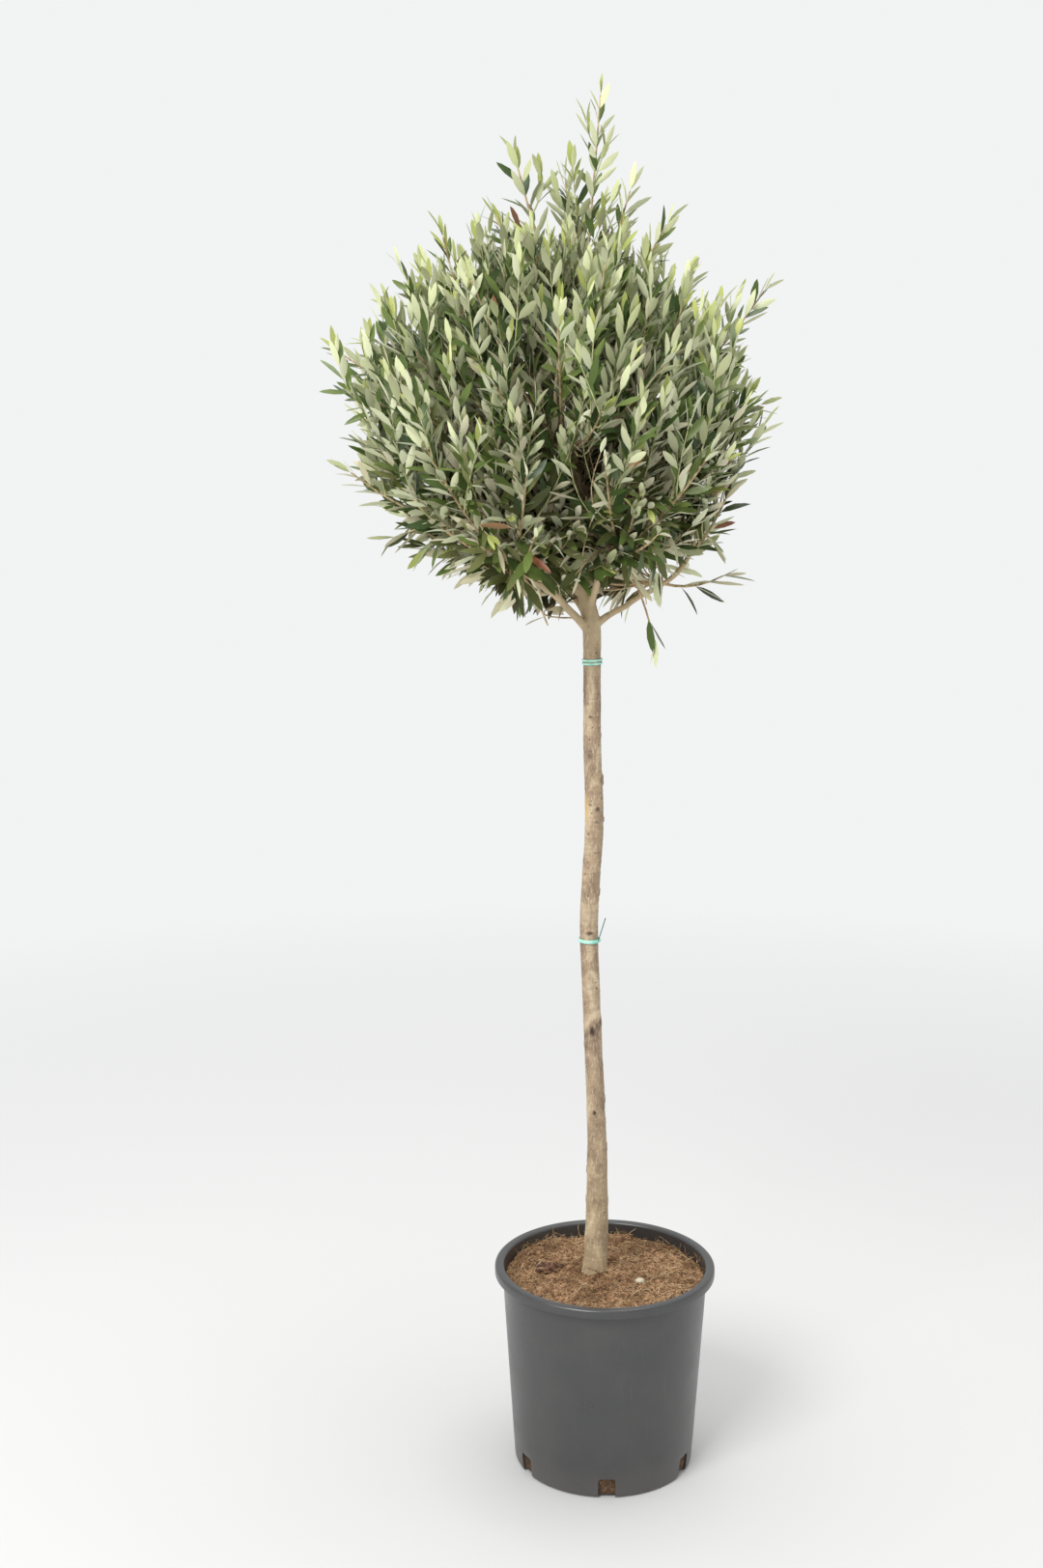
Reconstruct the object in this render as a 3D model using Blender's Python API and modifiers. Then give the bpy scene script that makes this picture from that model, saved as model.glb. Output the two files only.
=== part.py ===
"""An olive grown as a standard, in a round nursery pot, at its real size.

Units are metres, +Z is up and -Y is the side towards the viewer. The origin is the middle of
the pot's flat underside. A route is a list of (x, y, z, radius), from a limb's root to its tip.
"""

import math
import random

import bmesh
import bpy
from mathutils import Matrix, Vector

UP = Vector((0, 0, 1))

# Gap kept between two pieces that touch, and how close two points of one piece are welded.
CLEAR = 0.0003
WELD = 0.000001

# Edges that turn more than this stay sharp in the smooth shading.
SHARP_ANGLE = math.radians(45)

# Pot: a tapered shell with a turned-down lip and drain slots round its foot.
POT_HEIGHT = 0.295
POT_FOOT_RADIUS = 0.128
POT_WALL_TOP_RADIUS = 0.146
POT_WALL = 0.0024
POT_FLOOR = 0.003
POT_SIDES = 32
LIP_RADIUS = 0.157
LIP_HEIGHT = 0.013
LIP_ROUNDING = 0.004
FOOT_ROUNDING = 0.006
ROUNDING_STEPS = 2
DRAIN_SLOTS = 6
DRAIN_SLOT_WIDTH = 0.024
DRAIN_SLOT_TOP = 0.030
DRAIN_SLOT_REACH = 0.009
FIRST_DRAIN_SLOT = math.radians(30)

# Soil: fills the pot to just under the lip, with a low flat mound round the trunk.
SOIL_LEVEL = 0.277
SOIL_EDGE_LEVEL = 0.270
SOIL_MOUND_RADIUS = 0.034
SOIL_WAVES = ((3, 0.0012, 0.4), (5, 0.0009, 1.9), (8, 0.0006, 0.8))
SOIL_SWIRL = 40
SOIL_RINGS = 3

# Trunk: the middle of the stem and its radius at each height, from the cut at soil level.
TRUNK_STATIONS = (
    (-0.0150, 0.000, 0.277, 0.0205),
    (-0.0140, 0.000, 0.290, 0.0180),
    (-0.0120, 0.000, 0.325, 0.0168),
    (-0.0115, 0.001, 0.400, 0.0155),
    (-0.0130, 0.002, 0.500, 0.0134),
    (-0.0205, 0.001, 0.666, 0.0124),
    (-0.0255, -0.001, 0.800, 0.0126),
    (-0.0195, -0.002, 0.935, 0.0128),
    (-0.0230, 0.000, 1.060, 0.0121),
    (-0.0235, 0.001, 1.160, 0.0120),
    (-0.0250, 0.000, 1.210, 0.0124),
    (-0.0320, 0.000, 1.245, 0.0108),
    (-0.0385, 0.000, 1.270, 0.0095),
)
TRUNK_RINGS = 27
TRUNK_SIDES = 10
FOOT_LENGTH = 0.003
KNOT_HEIGHTS = (0.43, 0.545, 0.69, 0.885, 0.955, 1.005, 1.09)
KNOT_SWELL = 0.0010
KNOT_LENGTH = 0.012

# Leader: the trunk's continuation above its fork.
LEADER_STATIONS = (
    (-0.0300, 0.001, 1.296, 0.0086),
    (-0.0120, 0.002, 1.327, 0.0080),
    (-0.0270, 0.001, 1.365, 0.0072),
    (-0.0450, -0.001, 1.413, 0.0064),
    (-0.0500, 0.000, 1.490, 0.0054),
    (-0.0460, 0.000, 1.580, 0.0042),
)
LEADER_RINGS = 15
LEADER_SIDES = 8

# Ties: soft plastic loops round the trunk.
TIE_HEIGHTS = {"tie_lower": 0.773, "tie_upper": 1.161}
TIE_BAND = {"tie_lower": 0.006, "tie_upper": 0.0085}
TIE_THICKNESS = 0.0018
TIE_SIDES = 14

# Boughs: parent, height of the root, tip, radius at the root, rise of the first stretch.
BOUGHS = {
    "left": ("trunk", 1.250, (-0.160, 0.000, 1.335), 0.0062, 40),
    "front_left": ("trunk", 1.199, (-0.125, -0.085, 1.295), 0.0058, 42),
    "front_right": ("trunk", 1.234, (0.004, -0.085, 1.320), 0.0054, 52),
    "right": ("trunk", 1.207, (0.062, -0.012, 1.262), 0.0048, 38),
    "back_right": ("trunk", 1.230, (0.012, 0.085, 1.330), 0.0056, 52),
    "back_left": ("trunk", 1.219, (-0.120, 0.085, 1.315), 0.0058, 48),
    "left_high": ("leader", 1.415, (-0.138, -0.010, 1.480), 0.0050, 22),
    "right_high": ("leader", 1.385, (0.022, -0.005, 1.472), 0.0050, 50),
    "front_high": ("leader", 1.352, (-0.062, -0.075, 1.440), 0.0050, 40),
    "back_high": ("leader", 1.372, (-0.065, 0.075, 1.455), 0.0050, 42),
}
BOUGH_TIP_RADIUS = 0.0036
BOUGH_RINGS = 7
BOUGH_SIDES = 7
BOUGH_WANDER = 0.0030
STRAIGHT_RINGS = (3, 2)
BEND_SHARE = 0.5

# Masses of foliage: the heart of the space that each one keeps to.
HEARTS = {
    "left": (-0.235, 0.000, 1.385),
    "front_left": (-0.170, -0.140, 1.365),
    "front_right": (0.030, -0.140, 1.375),
    "right": (0.105, 0.000, 1.370),
    "back_right": (0.025, 0.140, 1.395),
    "back_left": (-0.165, 0.140, 1.385),
    "left_high": (-0.225, -0.010, 1.565),
    "right_high": (0.090, -0.010, 1.562),
    "front_high": (-0.070, -0.135, 1.535),
    "back_high": (-0.070, 0.140, 1.550),
    "top": (-0.045, 0.000, 1.700),
}
SPACE_GAP = 0.0012
LIMB_GAP = 0.0012

# Crown: how far the foliage reaches from the crown's own axis at each height.
CROWN_X = -0.078
CROWN_REACH = 0.290
CROWN_WAIST = 1.530
CROWN_RISE = 0.380
CROWN_DROP = 0.300
RISE_POWER = 1.5
LOWEST_TIP = 1.245
HIGHEST_TIP = 1.770

# Shoots that stand out of the crown's outline, by their tips.
LONG_SHOOTS = (
    (-0.016, 0.000, 1.912),
    (-0.134, -0.030, 1.831),
    (-0.063, 0.040, 1.813),
    (0.028, -0.010, 1.792),
    (-0.285, -0.020, 1.690),
    (-0.369, -0.030, 1.573),
    (-0.362, -0.020, 1.422),
    (-0.303, -0.040, 1.330),
    (0.168, -0.030, 1.282),
    (0.212, -0.020, 1.504),
    (0.212, 0.000, 1.662),
    (0.060, -0.080, 1.190),
    (-0.075, -0.110, 1.205),
    (0.055, -0.235, 1.350),
    (-0.020, -0.265, 1.440),
    (-0.100, -0.250, 1.350),
    (-0.010, 0.255, 1.350),
)

# Twigs and leaves: the solids' share of the real plant, with each leaf larger than life.
SEED = 20
SEEDS_APART = 1000
CROWN_LAYERS = ((1.0, 0.126), (0.66, 0.132))
GOLDEN_ANGLE = math.pi * (3 - math.sqrt(5))
TIP_SCATTER = (0.88, 1.03)
STEM_RINGS = 5
STEM_SIDES = 6
STEM_END_RADIUS = 0.0022
STEM_OVERSHOOT = 0.25
TWIG_RADIUS = (0.0026, 0.0016)
TWIG_RINGS = 4
TWIG_SIDES = 3
TWIG_LIFT = 0.16
BRANCH_ANGLE = math.radians(36)
FIRST_BRANCH = 0.06
LAST_BRANCH = 0.97
SHORTEST_TWIG = 0.045
LEAF_LENGTH = 0.076
LEAF_WIDTH = 0.025
LEAF_THICKNESS = 0.0026
LEAF_WIDEST = 0.45
LEAF_SINK = 0.0008
LAST_LEAF_SINK = 0.006
LEAF_SPACING = 0.030
LEAF_ANGLE = math.radians(38)
LEAF_ANGLE_SPREAD = math.radians(12)
LEAF_SIZES = (0.85, 1.1)
LEAF_CHECKS = ((0.35, 0.45), (0.6, 0.45), (0.85, 0.2), (1.0, 0.05))
LEAF_ROOM = 0.011
TWIG_ROOM = 0.002
LAST_LEAF_TURN = 0.15
LAST_LEAF_SHARE = 0.8
LEAF_FACING = (0.4, 1.0)
BARE_SHARE = 0.16

MATERIALS = {
    "pot_plastic": ("54565A", 0.45),
    "soil": ("7A5336", 0.95),
    "bark": ("B39E82", 0.85),
    "foliage": ("8A9674", 0.60),
    "tie": ("9FD9C8", 0.50),
}


def linear(channel):
    """One sRGB channel, 0 to 1, as linear light."""
    return channel / 12.92 if channel <= 0.04045 else ((channel + 0.055) / 1.055) ** 2.4


def material(name):
    """The Principled material of one finish, made once."""
    made = bpy.data.materials.get(name)
    if made:
        return made
    colour, roughness = MATERIALS[name]
    made = bpy.data.materials.new(name)
    made.use_nodes = True
    shader = made.node_tree.nodes["Principled BSDF"]
    rgb = [linear(int(colour[at : at + 2], 16) / 255) for at in (0, 2, 4)]
    shader.inputs["Base Color"].default_value = (*rgb, 1.0)
    shader.inputs["Roughness"].default_value = roughness
    return made


def clear_scene():
    for old in list(bpy.data.objects):
        bpy.data.objects.remove(old)


def new_collection(name):
    made = bpy.data.collections.new(name)
    bpy.context.scene.collection.children.link(made)
    return made


def place(name, data, collection, finish=None):
    """A new object in a collection, with its material."""
    made = bpy.data.objects.new(name, data)
    collection.objects.link(made)
    if finish:
        data.materials.append(material(finish))
    return made


def as_mesh(source, collection, finish=None, weld=WELD):
    """Replaces an object by the mesh that it evaluates to, with doubled points welded."""
    bpy.context.view_layer.update()
    graph = bpy.context.evaluated_depsgraph_get()
    mesh = bpy.data.meshes.new_from_object(source.evaluated_get(graph))
    name, world = source.name, source.matrix_world.copy()
    bpy.data.objects.remove(source)
    shape = bmesh.new()
    shape.from_mesh(mesh)
    bmesh.ops.remove_doubles(shape, verts=shape.verts, dist=weld)
    shape.to_mesh(mesh)
    shape.free()
    mesh.materials.clear()
    made = place(name, mesh, collection, finish)
    made.matrix_world = world
    return made


def smooth(stations, rings):
    """A route with a number of rings, on a smooth curve through the stations."""
    rows = [Vector(row) for row in stations]
    rows = [2 * rows[0] - rows[1], *rows, 2 * rows[-1] - rows[-2]]
    route = []
    for step in range(rings):
        at = step * (len(rows) - 3) / (rings - 1)
        first = min(int(at), len(rows) - 4)
        t = at - first
        a, b, c, d = rows[first : first + 4]
        bend = (2 * a - 5 * b + 4 * c - d) * t + (3 * b - a - 3 * c + d) * t * t
        route.append(b + (c - a + bend) * t / 2)
    return route


def arched(start, turn, end, radii, rings):
    """A tapering route from start to end that sets out towards the point turn."""
    route = []
    for step in range(rings):
        t = step / (rings - 1)
        at = start * (1 - t) ** 2 + turn * 2 * t * (1 - t) + end * t * t
        route.append(Vector((*at, radii[0] + (radii[1] - radii[0]) * t)))
    return route


def at_height(route, height):
    """The point of a route at a height."""
    for low, high in zip(route, route[1:]):
        if low.z <= height <= high.z:
            return low.lerp(high, (height - low.z) / (high.z - low.z))
    return route[-1]


def at_arc(route, arc):
    """The point of a route at a length along it, and its direction there."""
    for here, there in zip(route, route[1:]):
        step = there.xyz - here.xyz
        if arc <= step.length:
            return here.lerp(there, arc / step.length), step.normalized()
        arc -= step.length
    return route[-1], step.normalized()


def length_of(route):
    return sum((b.xyz - a.xyz).length for a, b in zip(route, route[1:]))


def from_route(point, route):
    """The gap from a point to a limb's skin, and the length along the limb to that place."""
    best, arc, passed = math.inf, 0.0, 0.0
    for here, there in zip(route, route[1:]):
        step = there.xyz - here.xyz
        t = min(max((point - here.xyz).dot(step) / step.length_squared, 0), 1)
        gap = (point - here.xyz - step * t).length - (here.w + (there.w - here.w) * t)
        if gap < best:
            best, arc = gap, passed + step.length * t
        passed += step.length
    return best, arc


def polygon(sides, guides):
    """The outline of a limb's ring, one unit in radius, made once."""
    name = f"ring_of_{sides}"
    if name in bpy.data.objects:
        return bpy.data.objects[name]
    data = bpy.data.curves.new(name, "CURVE")
    spline = data.splines.new("POLY")
    spline.points.add(sides - 1)
    for step, point in enumerate(spline.points):
        turn = -2 * math.pi * step / sides
        point.co = (math.cos(turn), math.sin(turn), 0, 1)
    spline.use_cyclic_u = True
    made = place(name, data, guides)
    made.hide_render = True
    made.display_type = "WIRE"
    return made


def tube(name, route, sides, collection, guides, finish=None):
    """A closed tapering tube along a route."""
    data = bpy.data.curves.new(name, "CURVE")
    data.dimensions = "3D"
    data.bevel_mode = "OBJECT"
    data.bevel_object = polygon(sides, guides)
    data.use_fill_caps = True
    spline = data.splines.new("POLY")
    spline.points.add(len(route) - 1)
    for point, row in zip(spline.points, route):
        point.co = (*row.xyz, 1)
        point.radius = row.w
    made = as_mesh(place(name, data, collection), collection, finish)
    made.data.shade_smooth()
    made.data.set_sharp_from_angle(angle=SHARP_ANGLE)
    return made


def turned(name, profile, sides, collection, finish):
    """A solid of revolution about Z from (radius, height) points, outer side downwards."""
    mesh = bpy.data.meshes.new(name)
    edges = [(i, i + 1) for i in range(len(profile) - 1)]
    mesh.from_pydata([(radius, 0, height) for radius, height in profile], edges, [])
    made = place(name, mesh, collection, finish)
    screw = made.modifiers.new("Turn", "SCREW")
    screw.steps = screw.render_steps = sides
    screw.use_merge_vertices = True
    screw.merge_threshold = WELD
    return as_mesh(made, collection, finish)


def rounding(centre_radius, centre_height, size, first, last):
    """Points of a quarter round in a profile, from one angle in degrees to another."""
    for step in range(ROUNDING_STEPS + 1):
        turn = math.radians(first + (last - first) * step / ROUNDING_STEPS)
        yield centre_radius + size * math.cos(turn), centre_height + size * math.sin(turn)


def wall_radius(height):
    """The pot's outer radius at a height on its wall."""
    lip_foot = POT_HEIGHT - LIP_HEIGHT
    return POT_FOOT_RADIUS + (POT_WALL_TOP_RADIUS - POT_FOOT_RADIUS) * height / lip_foot


def cut(piece, cutter, solver="EXACT"):
    """Takes a cutter out of a piece and keeps the cutter as a wire guide."""
    cutter.hide_render = True
    cutter.display_type = "WIRE"
    boolean = piece.modifiers.new("Cut", "BOOLEAN")
    boolean.operation = "DIFFERENCE"
    boolean.solver = solver
    boolean.object = cutter


def make_pot(parts, guides):
    """The shell with its turned-down lip, open at the drain slots."""
    top, skirt = POT_HEIGHT, POT_HEIGHT - LIP_HEIGHT
    inner = POT_FOOT_RADIUS - POT_WALL
    neck = wall_radius(skirt) - POT_WALL
    profile = [(0, POT_FLOOR)]
    profile += rounding(inner - FOOT_ROUNDING, POT_FLOOR + FOOT_ROUNDING, FOOT_ROUNDING, -90, 0)
    profile += [(neck, skirt)]
    profile += rounding(neck + LIP_ROUNDING, top - LIP_ROUNDING, LIP_ROUNDING, 180, 90)
    profile += rounding(LIP_RADIUS - LIP_ROUNDING, top - LIP_ROUNDING, LIP_ROUNDING, 90, 0)
    profile += [(LIP_RADIUS, skirt), (LIP_RADIUS - POT_WALL, skirt)]
    profile += [(LIP_RADIUS - POT_WALL, top - LIP_ROUNDING), (neck + POT_WALL, top - LIP_ROUNDING)]
    profile += [(wall_radius(skirt), skirt)]
    profile += rounding(POT_FOOT_RADIUS - FOOT_ROUNDING, FOOT_ROUNDING, FOOT_ROUNDING, 0, -90)
    profile += [(0, 0)]
    pot = turned("pot", profile, POT_SIDES, parts, "pot_plastic")
    pot.data.shade_smooth()
    pot.data.set_sharp_from_angle(angle=SHARP_ANGLE)

    depth = 2 * DRAIN_SLOT_REACH
    for number in range(DRAIN_SLOTS):
        turn = Matrix.Rotation(FIRST_DRAIN_SLOT + 2 * math.pi * number / DRAIN_SLOTS, 4, "Z")
        shape = bmesh.new()
        bmesh.ops.create_cube(shape, size=1.0)
        bmesh.ops.scale(shape, verts=shape.verts, vec=(depth, DRAIN_SLOT_WIDTH, 2 * DRAIN_SLOT_TOP))
        bmesh.ops.translate(shape, verts=shape.verts, vec=(POT_FOOT_RADIUS, 0, 0))
        bmesh.ops.transform(shape, matrix=turn, verts=shape.verts)
        mesh = bpy.data.meshes.new(f"drain_slot_{number}")
        shape.to_mesh(mesh)
        shape.free()
        cut(pot, place(mesh.name, mesh, guides))


def make_soil(parts, middle):
    """The soil, clear of the pot all round, with an uneven top and a flat round the trunk."""
    inner = POT_FOOT_RADIUS - POT_WALL - CLEAR
    rounded = FOOT_ROUNDING
    low = POT_FLOOR + CLEAR
    rim = wall_radius(SOIL_EDGE_LEVEL) - POT_WALL - CLEAR
    profile = [(0, SOIL_LEVEL), (SOIL_MOUND_RADIUS, SOIL_LEVEL)]
    for ring in range(1, SOIL_RINGS):
        share = ring / SOIL_RINGS
        slope = SOIL_LEVEL + (SOIL_EDGE_LEVEL - SOIL_LEVEL) * share
        profile.append((SOIL_MOUND_RADIUS + (rim - SOIL_MOUND_RADIUS) * share, slope))
    profile.append((rim, SOIL_EDGE_LEVEL))
    profile += rounding(inner - rounded, low + rounded, rounded, 0, -90)
    profile.append((0, low))
    soil = turned("soil", profile, POT_SIDES, parts, "soil")
    for vertex in soil.data.vertices:
        spread = vertex.co.xy.length
        if vertex.co.z < SOIL_EDGE_LEVEL - CLEAR or spread > rim - CLEAR:
            continue
        if spread <= SOIL_MOUND_RADIUS + CLEAR:
            vertex.co.x += middle.x
            vertex.co.y += middle.y
            continue
        turn = math.atan2(vertex.co.y, vertex.co.x)
        for count, rise, phase in SOIL_WAVES:
            vertex.co.z -= rise * (1 + math.sin(count * turn + phase + SOIL_SWIRL * spread))
    soil.data.shade_smooth()
    soil.data.set_sharp_from_angle(angle=SHARP_ANGLE)


def trunk_route():
    """The trunk, with a swelling at each knot and a level cut at the soil."""
    route = smooth(TRUNK_STATIONS, TRUNK_RINGS)
    for row in route:
        for height in KNOT_HEIGHTS:
            row.w += KNOT_SWELL * math.exp(-(((row.z - height) / KNOT_LENGTH) ** 2))
    foot = route[0].copy()
    foot.z = SOIL_LEVEL + CLEAR
    route[0].z = foot.z + FOOT_LENGTH
    return [foot, *route]


def carried_on(route):
    """The first two rings of a limb that carries on from a route's flat tip, clear of it."""
    tip = route[-1]
    run = (tip.xyz - route[-2].xyz).normalized()
    return [Vector((*(tip.xyz + run * gap), tip.w)) for gap in (CLEAR, CLEAR + FOOT_LENGTH)]


def leader_route(trunk):
    """The leader, from the trunk's flat top."""
    root, start = carried_on(trunk)
    return [root, *smooth([start, *LEADER_STATIONS], LEADER_RINGS)]


def bough_route(name, parents, chance):
    """A bough, from the middle of its parent to its tip."""
    parent, height, tip, radius, rise = BOUGHS[name]
    start = at_height(parents[parent], height).xyz
    end = Vector(tip)
    run = end - start
    ahead = Vector((run.x, run.y, 0)).normalized()
    slope = math.radians(rise)
    turn = start + (ahead * math.cos(slope) + UP * math.sin(slope)) * run.length * BEND_SHARE
    route = arched(start, turn, end, (radius, BOUGH_TIP_RADIUS), BOUGH_RINGS)
    for row in route[STRAIGHT_RINGS[0] : -STRAIGHT_RINGS[1]]:
        row.xyz += Vector([chance.uniform(-1, 1) * BOUGH_WANDER for _ in range(3)])
    return route


def make_tie(name, trunk, parts):
    """A flat loop that sits close round the trunk."""
    middle = at_height(trunk, TIE_HEIGHTS[name])
    half = TIE_BAND[name] / 2
    near = middle.w + 2 * CLEAR
    far = near + TIE_THICKNESS
    profile = [(near, half), (far, half), (far, -half), (near, -half), (near, half)]
    tie = turned(name, profile, TIE_SIDES, parts, "tie")
    tie.data.transform(Matrix.Translation(middle.xyz))
    tie.data.shade_smooth()
    tie.data.set_sharp_from_angle(angle=SHARP_ANGLE)


def reach(height):
    """How far the crown reaches from its axis at a height."""
    if height > CROWN_WAIST:
        return CROWN_REACH * max(1 - ((height - CROWN_WAIST) / CROWN_RISE) ** RISE_POWER, 0)
    return CROWN_REACH * math.sqrt(max(1 - ((CROWN_WAIST - height) / CROWN_DROP) ** 2, 0))


def foliage_tips():
    """Where the twigs' last leaves end: even layers round the crown, and the long shoots."""
    chance = random.Random(SEED)
    tips = []
    for depth, spacing in CROWN_LAYERS:
        height, turn = LOWEST_TIP, 0.0
        while height < HIGHEST_TIP:
            out = reach(height) * depth * chance.uniform(*TIP_SCATTER)
            tips.append(Vector((CROWN_X + out * math.cos(turn), out * math.sin(turn), height)))
            turn += GOLDEN_ANGLE
            height += spacing**2 / (2 * math.pi * max(reach(height) * depth, spacing))
    return tips + [Vector(tip) for tip in LONG_SHOOTS]


def home_of(point):
    """The name of the mass whose heart is nearest."""
    return min(HEARTS, key=lambda name: (Vector(HEARTS[name]) - point).length)


def fits(point, size, name, limbs):
    """Whether a ball lies in a mass's own space and clear of every limb."""
    own = Vector(HEARTS[name])
    for other, heart in HEARTS.items():
        across = Vector(heart) - own
        if other == name or not across.length:
            continue
        into = (Vector(heart) + own) / 2 - point
        if into.dot(across.normalized()) < size + SPACE_GAP / 2:
            return False
    return all(from_route(point, route)[0] > size + LIMB_GAP for route in limbs)


def stem_route(name, bough):
    """The stem of a mass, from just clear of its bough's tip to past the mass's heart."""
    root, start = carried_on(bough)
    heart = Vector(HEARTS[name])
    end = heart + (heart - start.xyz) * STEM_OVERSHOOT
    turn = start.xyz + (start.xyz - root.xyz).normalized() * (end - start.xyz).length * BEND_SHARE
    return [root, *arched(start.xyz, turn, end, (start.w, STEM_END_RADIUS), STEM_RINGS)]


def twig_route(stem, tip):
    """A twig that leaves the stem at an angle and bends up, or down where its tip is low."""
    gap, arc = from_route(tip, stem)
    whole = length_of(stem)
    arc -= gap / math.tan(BRANCH_ANGLE)
    arc = min(max(arc, FIRST_BRANCH * whole), LAST_BRANCH * whole)
    start = at_arc(stem, arc)[0].xyz
    run = tip - start
    end = tip - run.normalized() * LEAF_LENGTH * LAST_LEAF_SHARE
    lift = -TWIG_LIFT if run.z > 0 else TWIG_LIFT
    turn = (start + end) / 2 + UP * lift * run.length
    return arched(start, turn, end, TWIG_RADIUS, TWIG_RINGS)


def leaf_places(route, chance):
    """Root, direction and upper side of each leaf: opposite pairs, each pair turned, and one
    at the tip."""
    whole = length_of(route)
    spin = chance.uniform(0, math.pi)
    arc = whole
    while arc > whole * BARE_SHARE:
        root, ahead = at_arc(route, arc)
        side = ahead.orthogonal().normalized()
        side.rotate(Matrix.Rotation(spin, 3, ahead))
        angle = LEAF_ANGLE + chance.uniform(-1, 1) * LEAF_ANGLE_SPREAD
        ways = (side, -side) if arc < whole else (side * LAST_LEAF_TURN,)
        sink = LEAF_SINK if arc < whole else LAST_LEAF_SINK
        for way in ways:
            out = (ahead * math.cos(angle) + way * math.sin(angle)).normalized()
            upper = ahead + UP * chance.uniform(*LEAF_FACING)
            upper = (upper - out * upper.dot(out)).normalized()
            yield root.xyz - out * sink, out, upper
        arc -= LEAF_SPACING
        spin += math.pi / 2


def make_leaf(name, root, out, upper, size, collection):
    """A flat eight-sided leaf, pointed at its root and its tip."""
    shape = bmesh.new()
    across = upper.cross(out)
    wide = root + out * LEAF_LENGTH * size * LEAF_WIDEST
    start = shape.verts.new(root)
    end = shape.verts.new(root + out * LEAF_LENGTH * size)
    ring = [
        shape.verts.new(wide + across * LEAF_WIDTH * size / 2),
        shape.verts.new(wide + upper * LEAF_THICKNESS / 2),
        shape.verts.new(wide - across * LEAF_WIDTH * size / 2),
        shape.verts.new(wide - upper * LEAF_THICKNESS / 2),
    ]
    for here, there in zip(ring, ring[1:] + ring[:1]):
        shape.faces.new((start, there, here))
        shape.faces.new((end, here, there))
    bmesh.ops.recalc_face_normals(shape, faces=shape.faces)
    mesh = bpy.data.meshes.new(name)
    shape.to_mesh(mesh)
    shape.free()
    place(name, mesh, collection)


def fuse(base, pieces, parts):
    """Joins a collection of pieces to a base in one Boolean union and removes them."""
    boolean = base.modifiers.new("Fuse", "BOOLEAN")
    boolean.operation = "UNION"
    boolean.operand_type = "COLLECTION"
    boolean.collection = pieces
    made = as_mesh(base, parts, "foliage", weld=0)
    for piece in list(pieces.objects):
        bpy.data.objects.remove(piece)
    bpy.data.collections.remove(pieces)
    return made


def grow_twigs(name, stem, tips, limbs):
    """The twigs of a mass by number, each shortened to stay in the mass's own space."""
    twigs = {}
    for number, tip in tips:
        route = twig_route(stem, tip)
        while len(route) > 2 and not fits(route[-1].xyz, route[-1].w, name, limbs):
            route = route[:-1]
        clear = all(fits(row.xyz, row.w, name, limbs) for row in route[1:])
        if clear and length_of(route) > SHORTEST_TWIG:
            twigs[number] = route
    return twigs


def grow_leaves(name, twigs, limbs):
    """The leaves of a mass, without those that would leave its space or cross something."""
    taken = []
    for number, route in twigs.items():
        chance = random.Random(SEED * SEEDS_APART + number)
        others = [other for key, other in twigs.items() if key != number]
        for root, out, upper in leaf_places(route, chance):
            size = chance.uniform(*LEAF_SIZES)
            spine = [(root + out * LEAF_LENGTH * size * along, half) for along, half in LEAF_CHECKS]
            inside = all(fits(at, LEAF_WIDTH * size * half, name, limbs) for at, half in spine)
            alone = all((at - there).length > LEAF_ROOM for at, _ in spine for there in taken)
            free = all(from_route(at, other)[0] > TWIG_ROOM for at, _ in spine for other in others)
            if inside and alone and free:
                taken += [at for at, _ in spine]
                yield number, root, out, upper, size


def make_mass(name, bough, tips, limbs, parts, guides):
    """A mass of foliage: its stem, the twigs to its tips, and leaves in pairs, in one solid."""
    stem = stem_route(name, bough)
    twigs = grow_twigs(name, stem, tips, limbs)
    base = tube(f"crown_{name}", stem, STEM_SIDES, parts, guides)
    pieces = new_collection(f"pieces_of_{name}")
    for number, route in twigs.items():
        tube(f"twig_{number}", route, TWIG_SIDES, pieces, guides)
    leaves = 0
    for number, root, out, upper, size in grow_leaves(name, twigs, limbs):
        make_leaf(f"leaf_{number}_{leaves}", root, out, upper, size, pieces)
        leaves += 1
    fuse(base, pieces, parts)
    print(f"crown_{name}: {len(twigs)} twigs of {len(tips)}, {leaves} leaves")


def main():
    clear_scene()
    parts = new_collection("potted_olive_tree")
    guides = new_collection("cutters_and_guides")
    chance = random.Random(SEED)

    trunk = trunk_route()
    make_pot(parts, guides)
    make_soil(parts, trunk[0].xyz)
    tube("trunk", trunk, TRUNK_SIDES, parts, guides, "bark")
    for name in TIE_HEIGHTS:
        make_tie(name, trunk, parts)

    parents = {"trunk": trunk, "leader": leader_route(trunk)}
    tube("leader", parents["leader"], LEADER_SIDES, parts, guides, "bark")
    cutters = []
    for parent, route in parents.items():
        wider = [Vector((*row.xyz, row.w + CLEAR)) for row in route]
        sides = TRUNK_SIDES if parent == "trunk" else LEADER_SIDES
        cutters.append(tube(f"clear_of_{parent}", wider, sides, guides, guides))
    limbs = dict(parents)
    for name in BOUGHS:
        limbs[name] = bough_route(name, parents, chance)
        bough = tube(f"bough_{name}", limbs[name], BOUGH_SIDES, parts, guides, "bark")
        for cutter in cutters:
            cut(bough, cutter, "MANIFOLD")

    tips = list(enumerate(foliage_tips()))
    for name in HEARTS:
        own = [(number, tip) for number, tip in tips if home_of(tip) == name]
        bough = limbs["leader"] if name == "top" else limbs[name]
        make_mass(name, bough, own, list(limbs.values()), parts, guides)


main()
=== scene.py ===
# %% [markdown]
# # A young olive, grown as a standard, in a nursery pot
# The plant is a bare stem with a rounded head of upright shoots, as a nursery sells it. The CAD
# part holds its plain solids: pot, soil, trunk, boughs and eleven masses of foliage. This lesson
# loads them as a fixed frame and dresses them: real bark, a moulded pot, fibrous soil, and
# thousands of small leaves grown by the same rule that placed the solids' larger ones.

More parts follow.
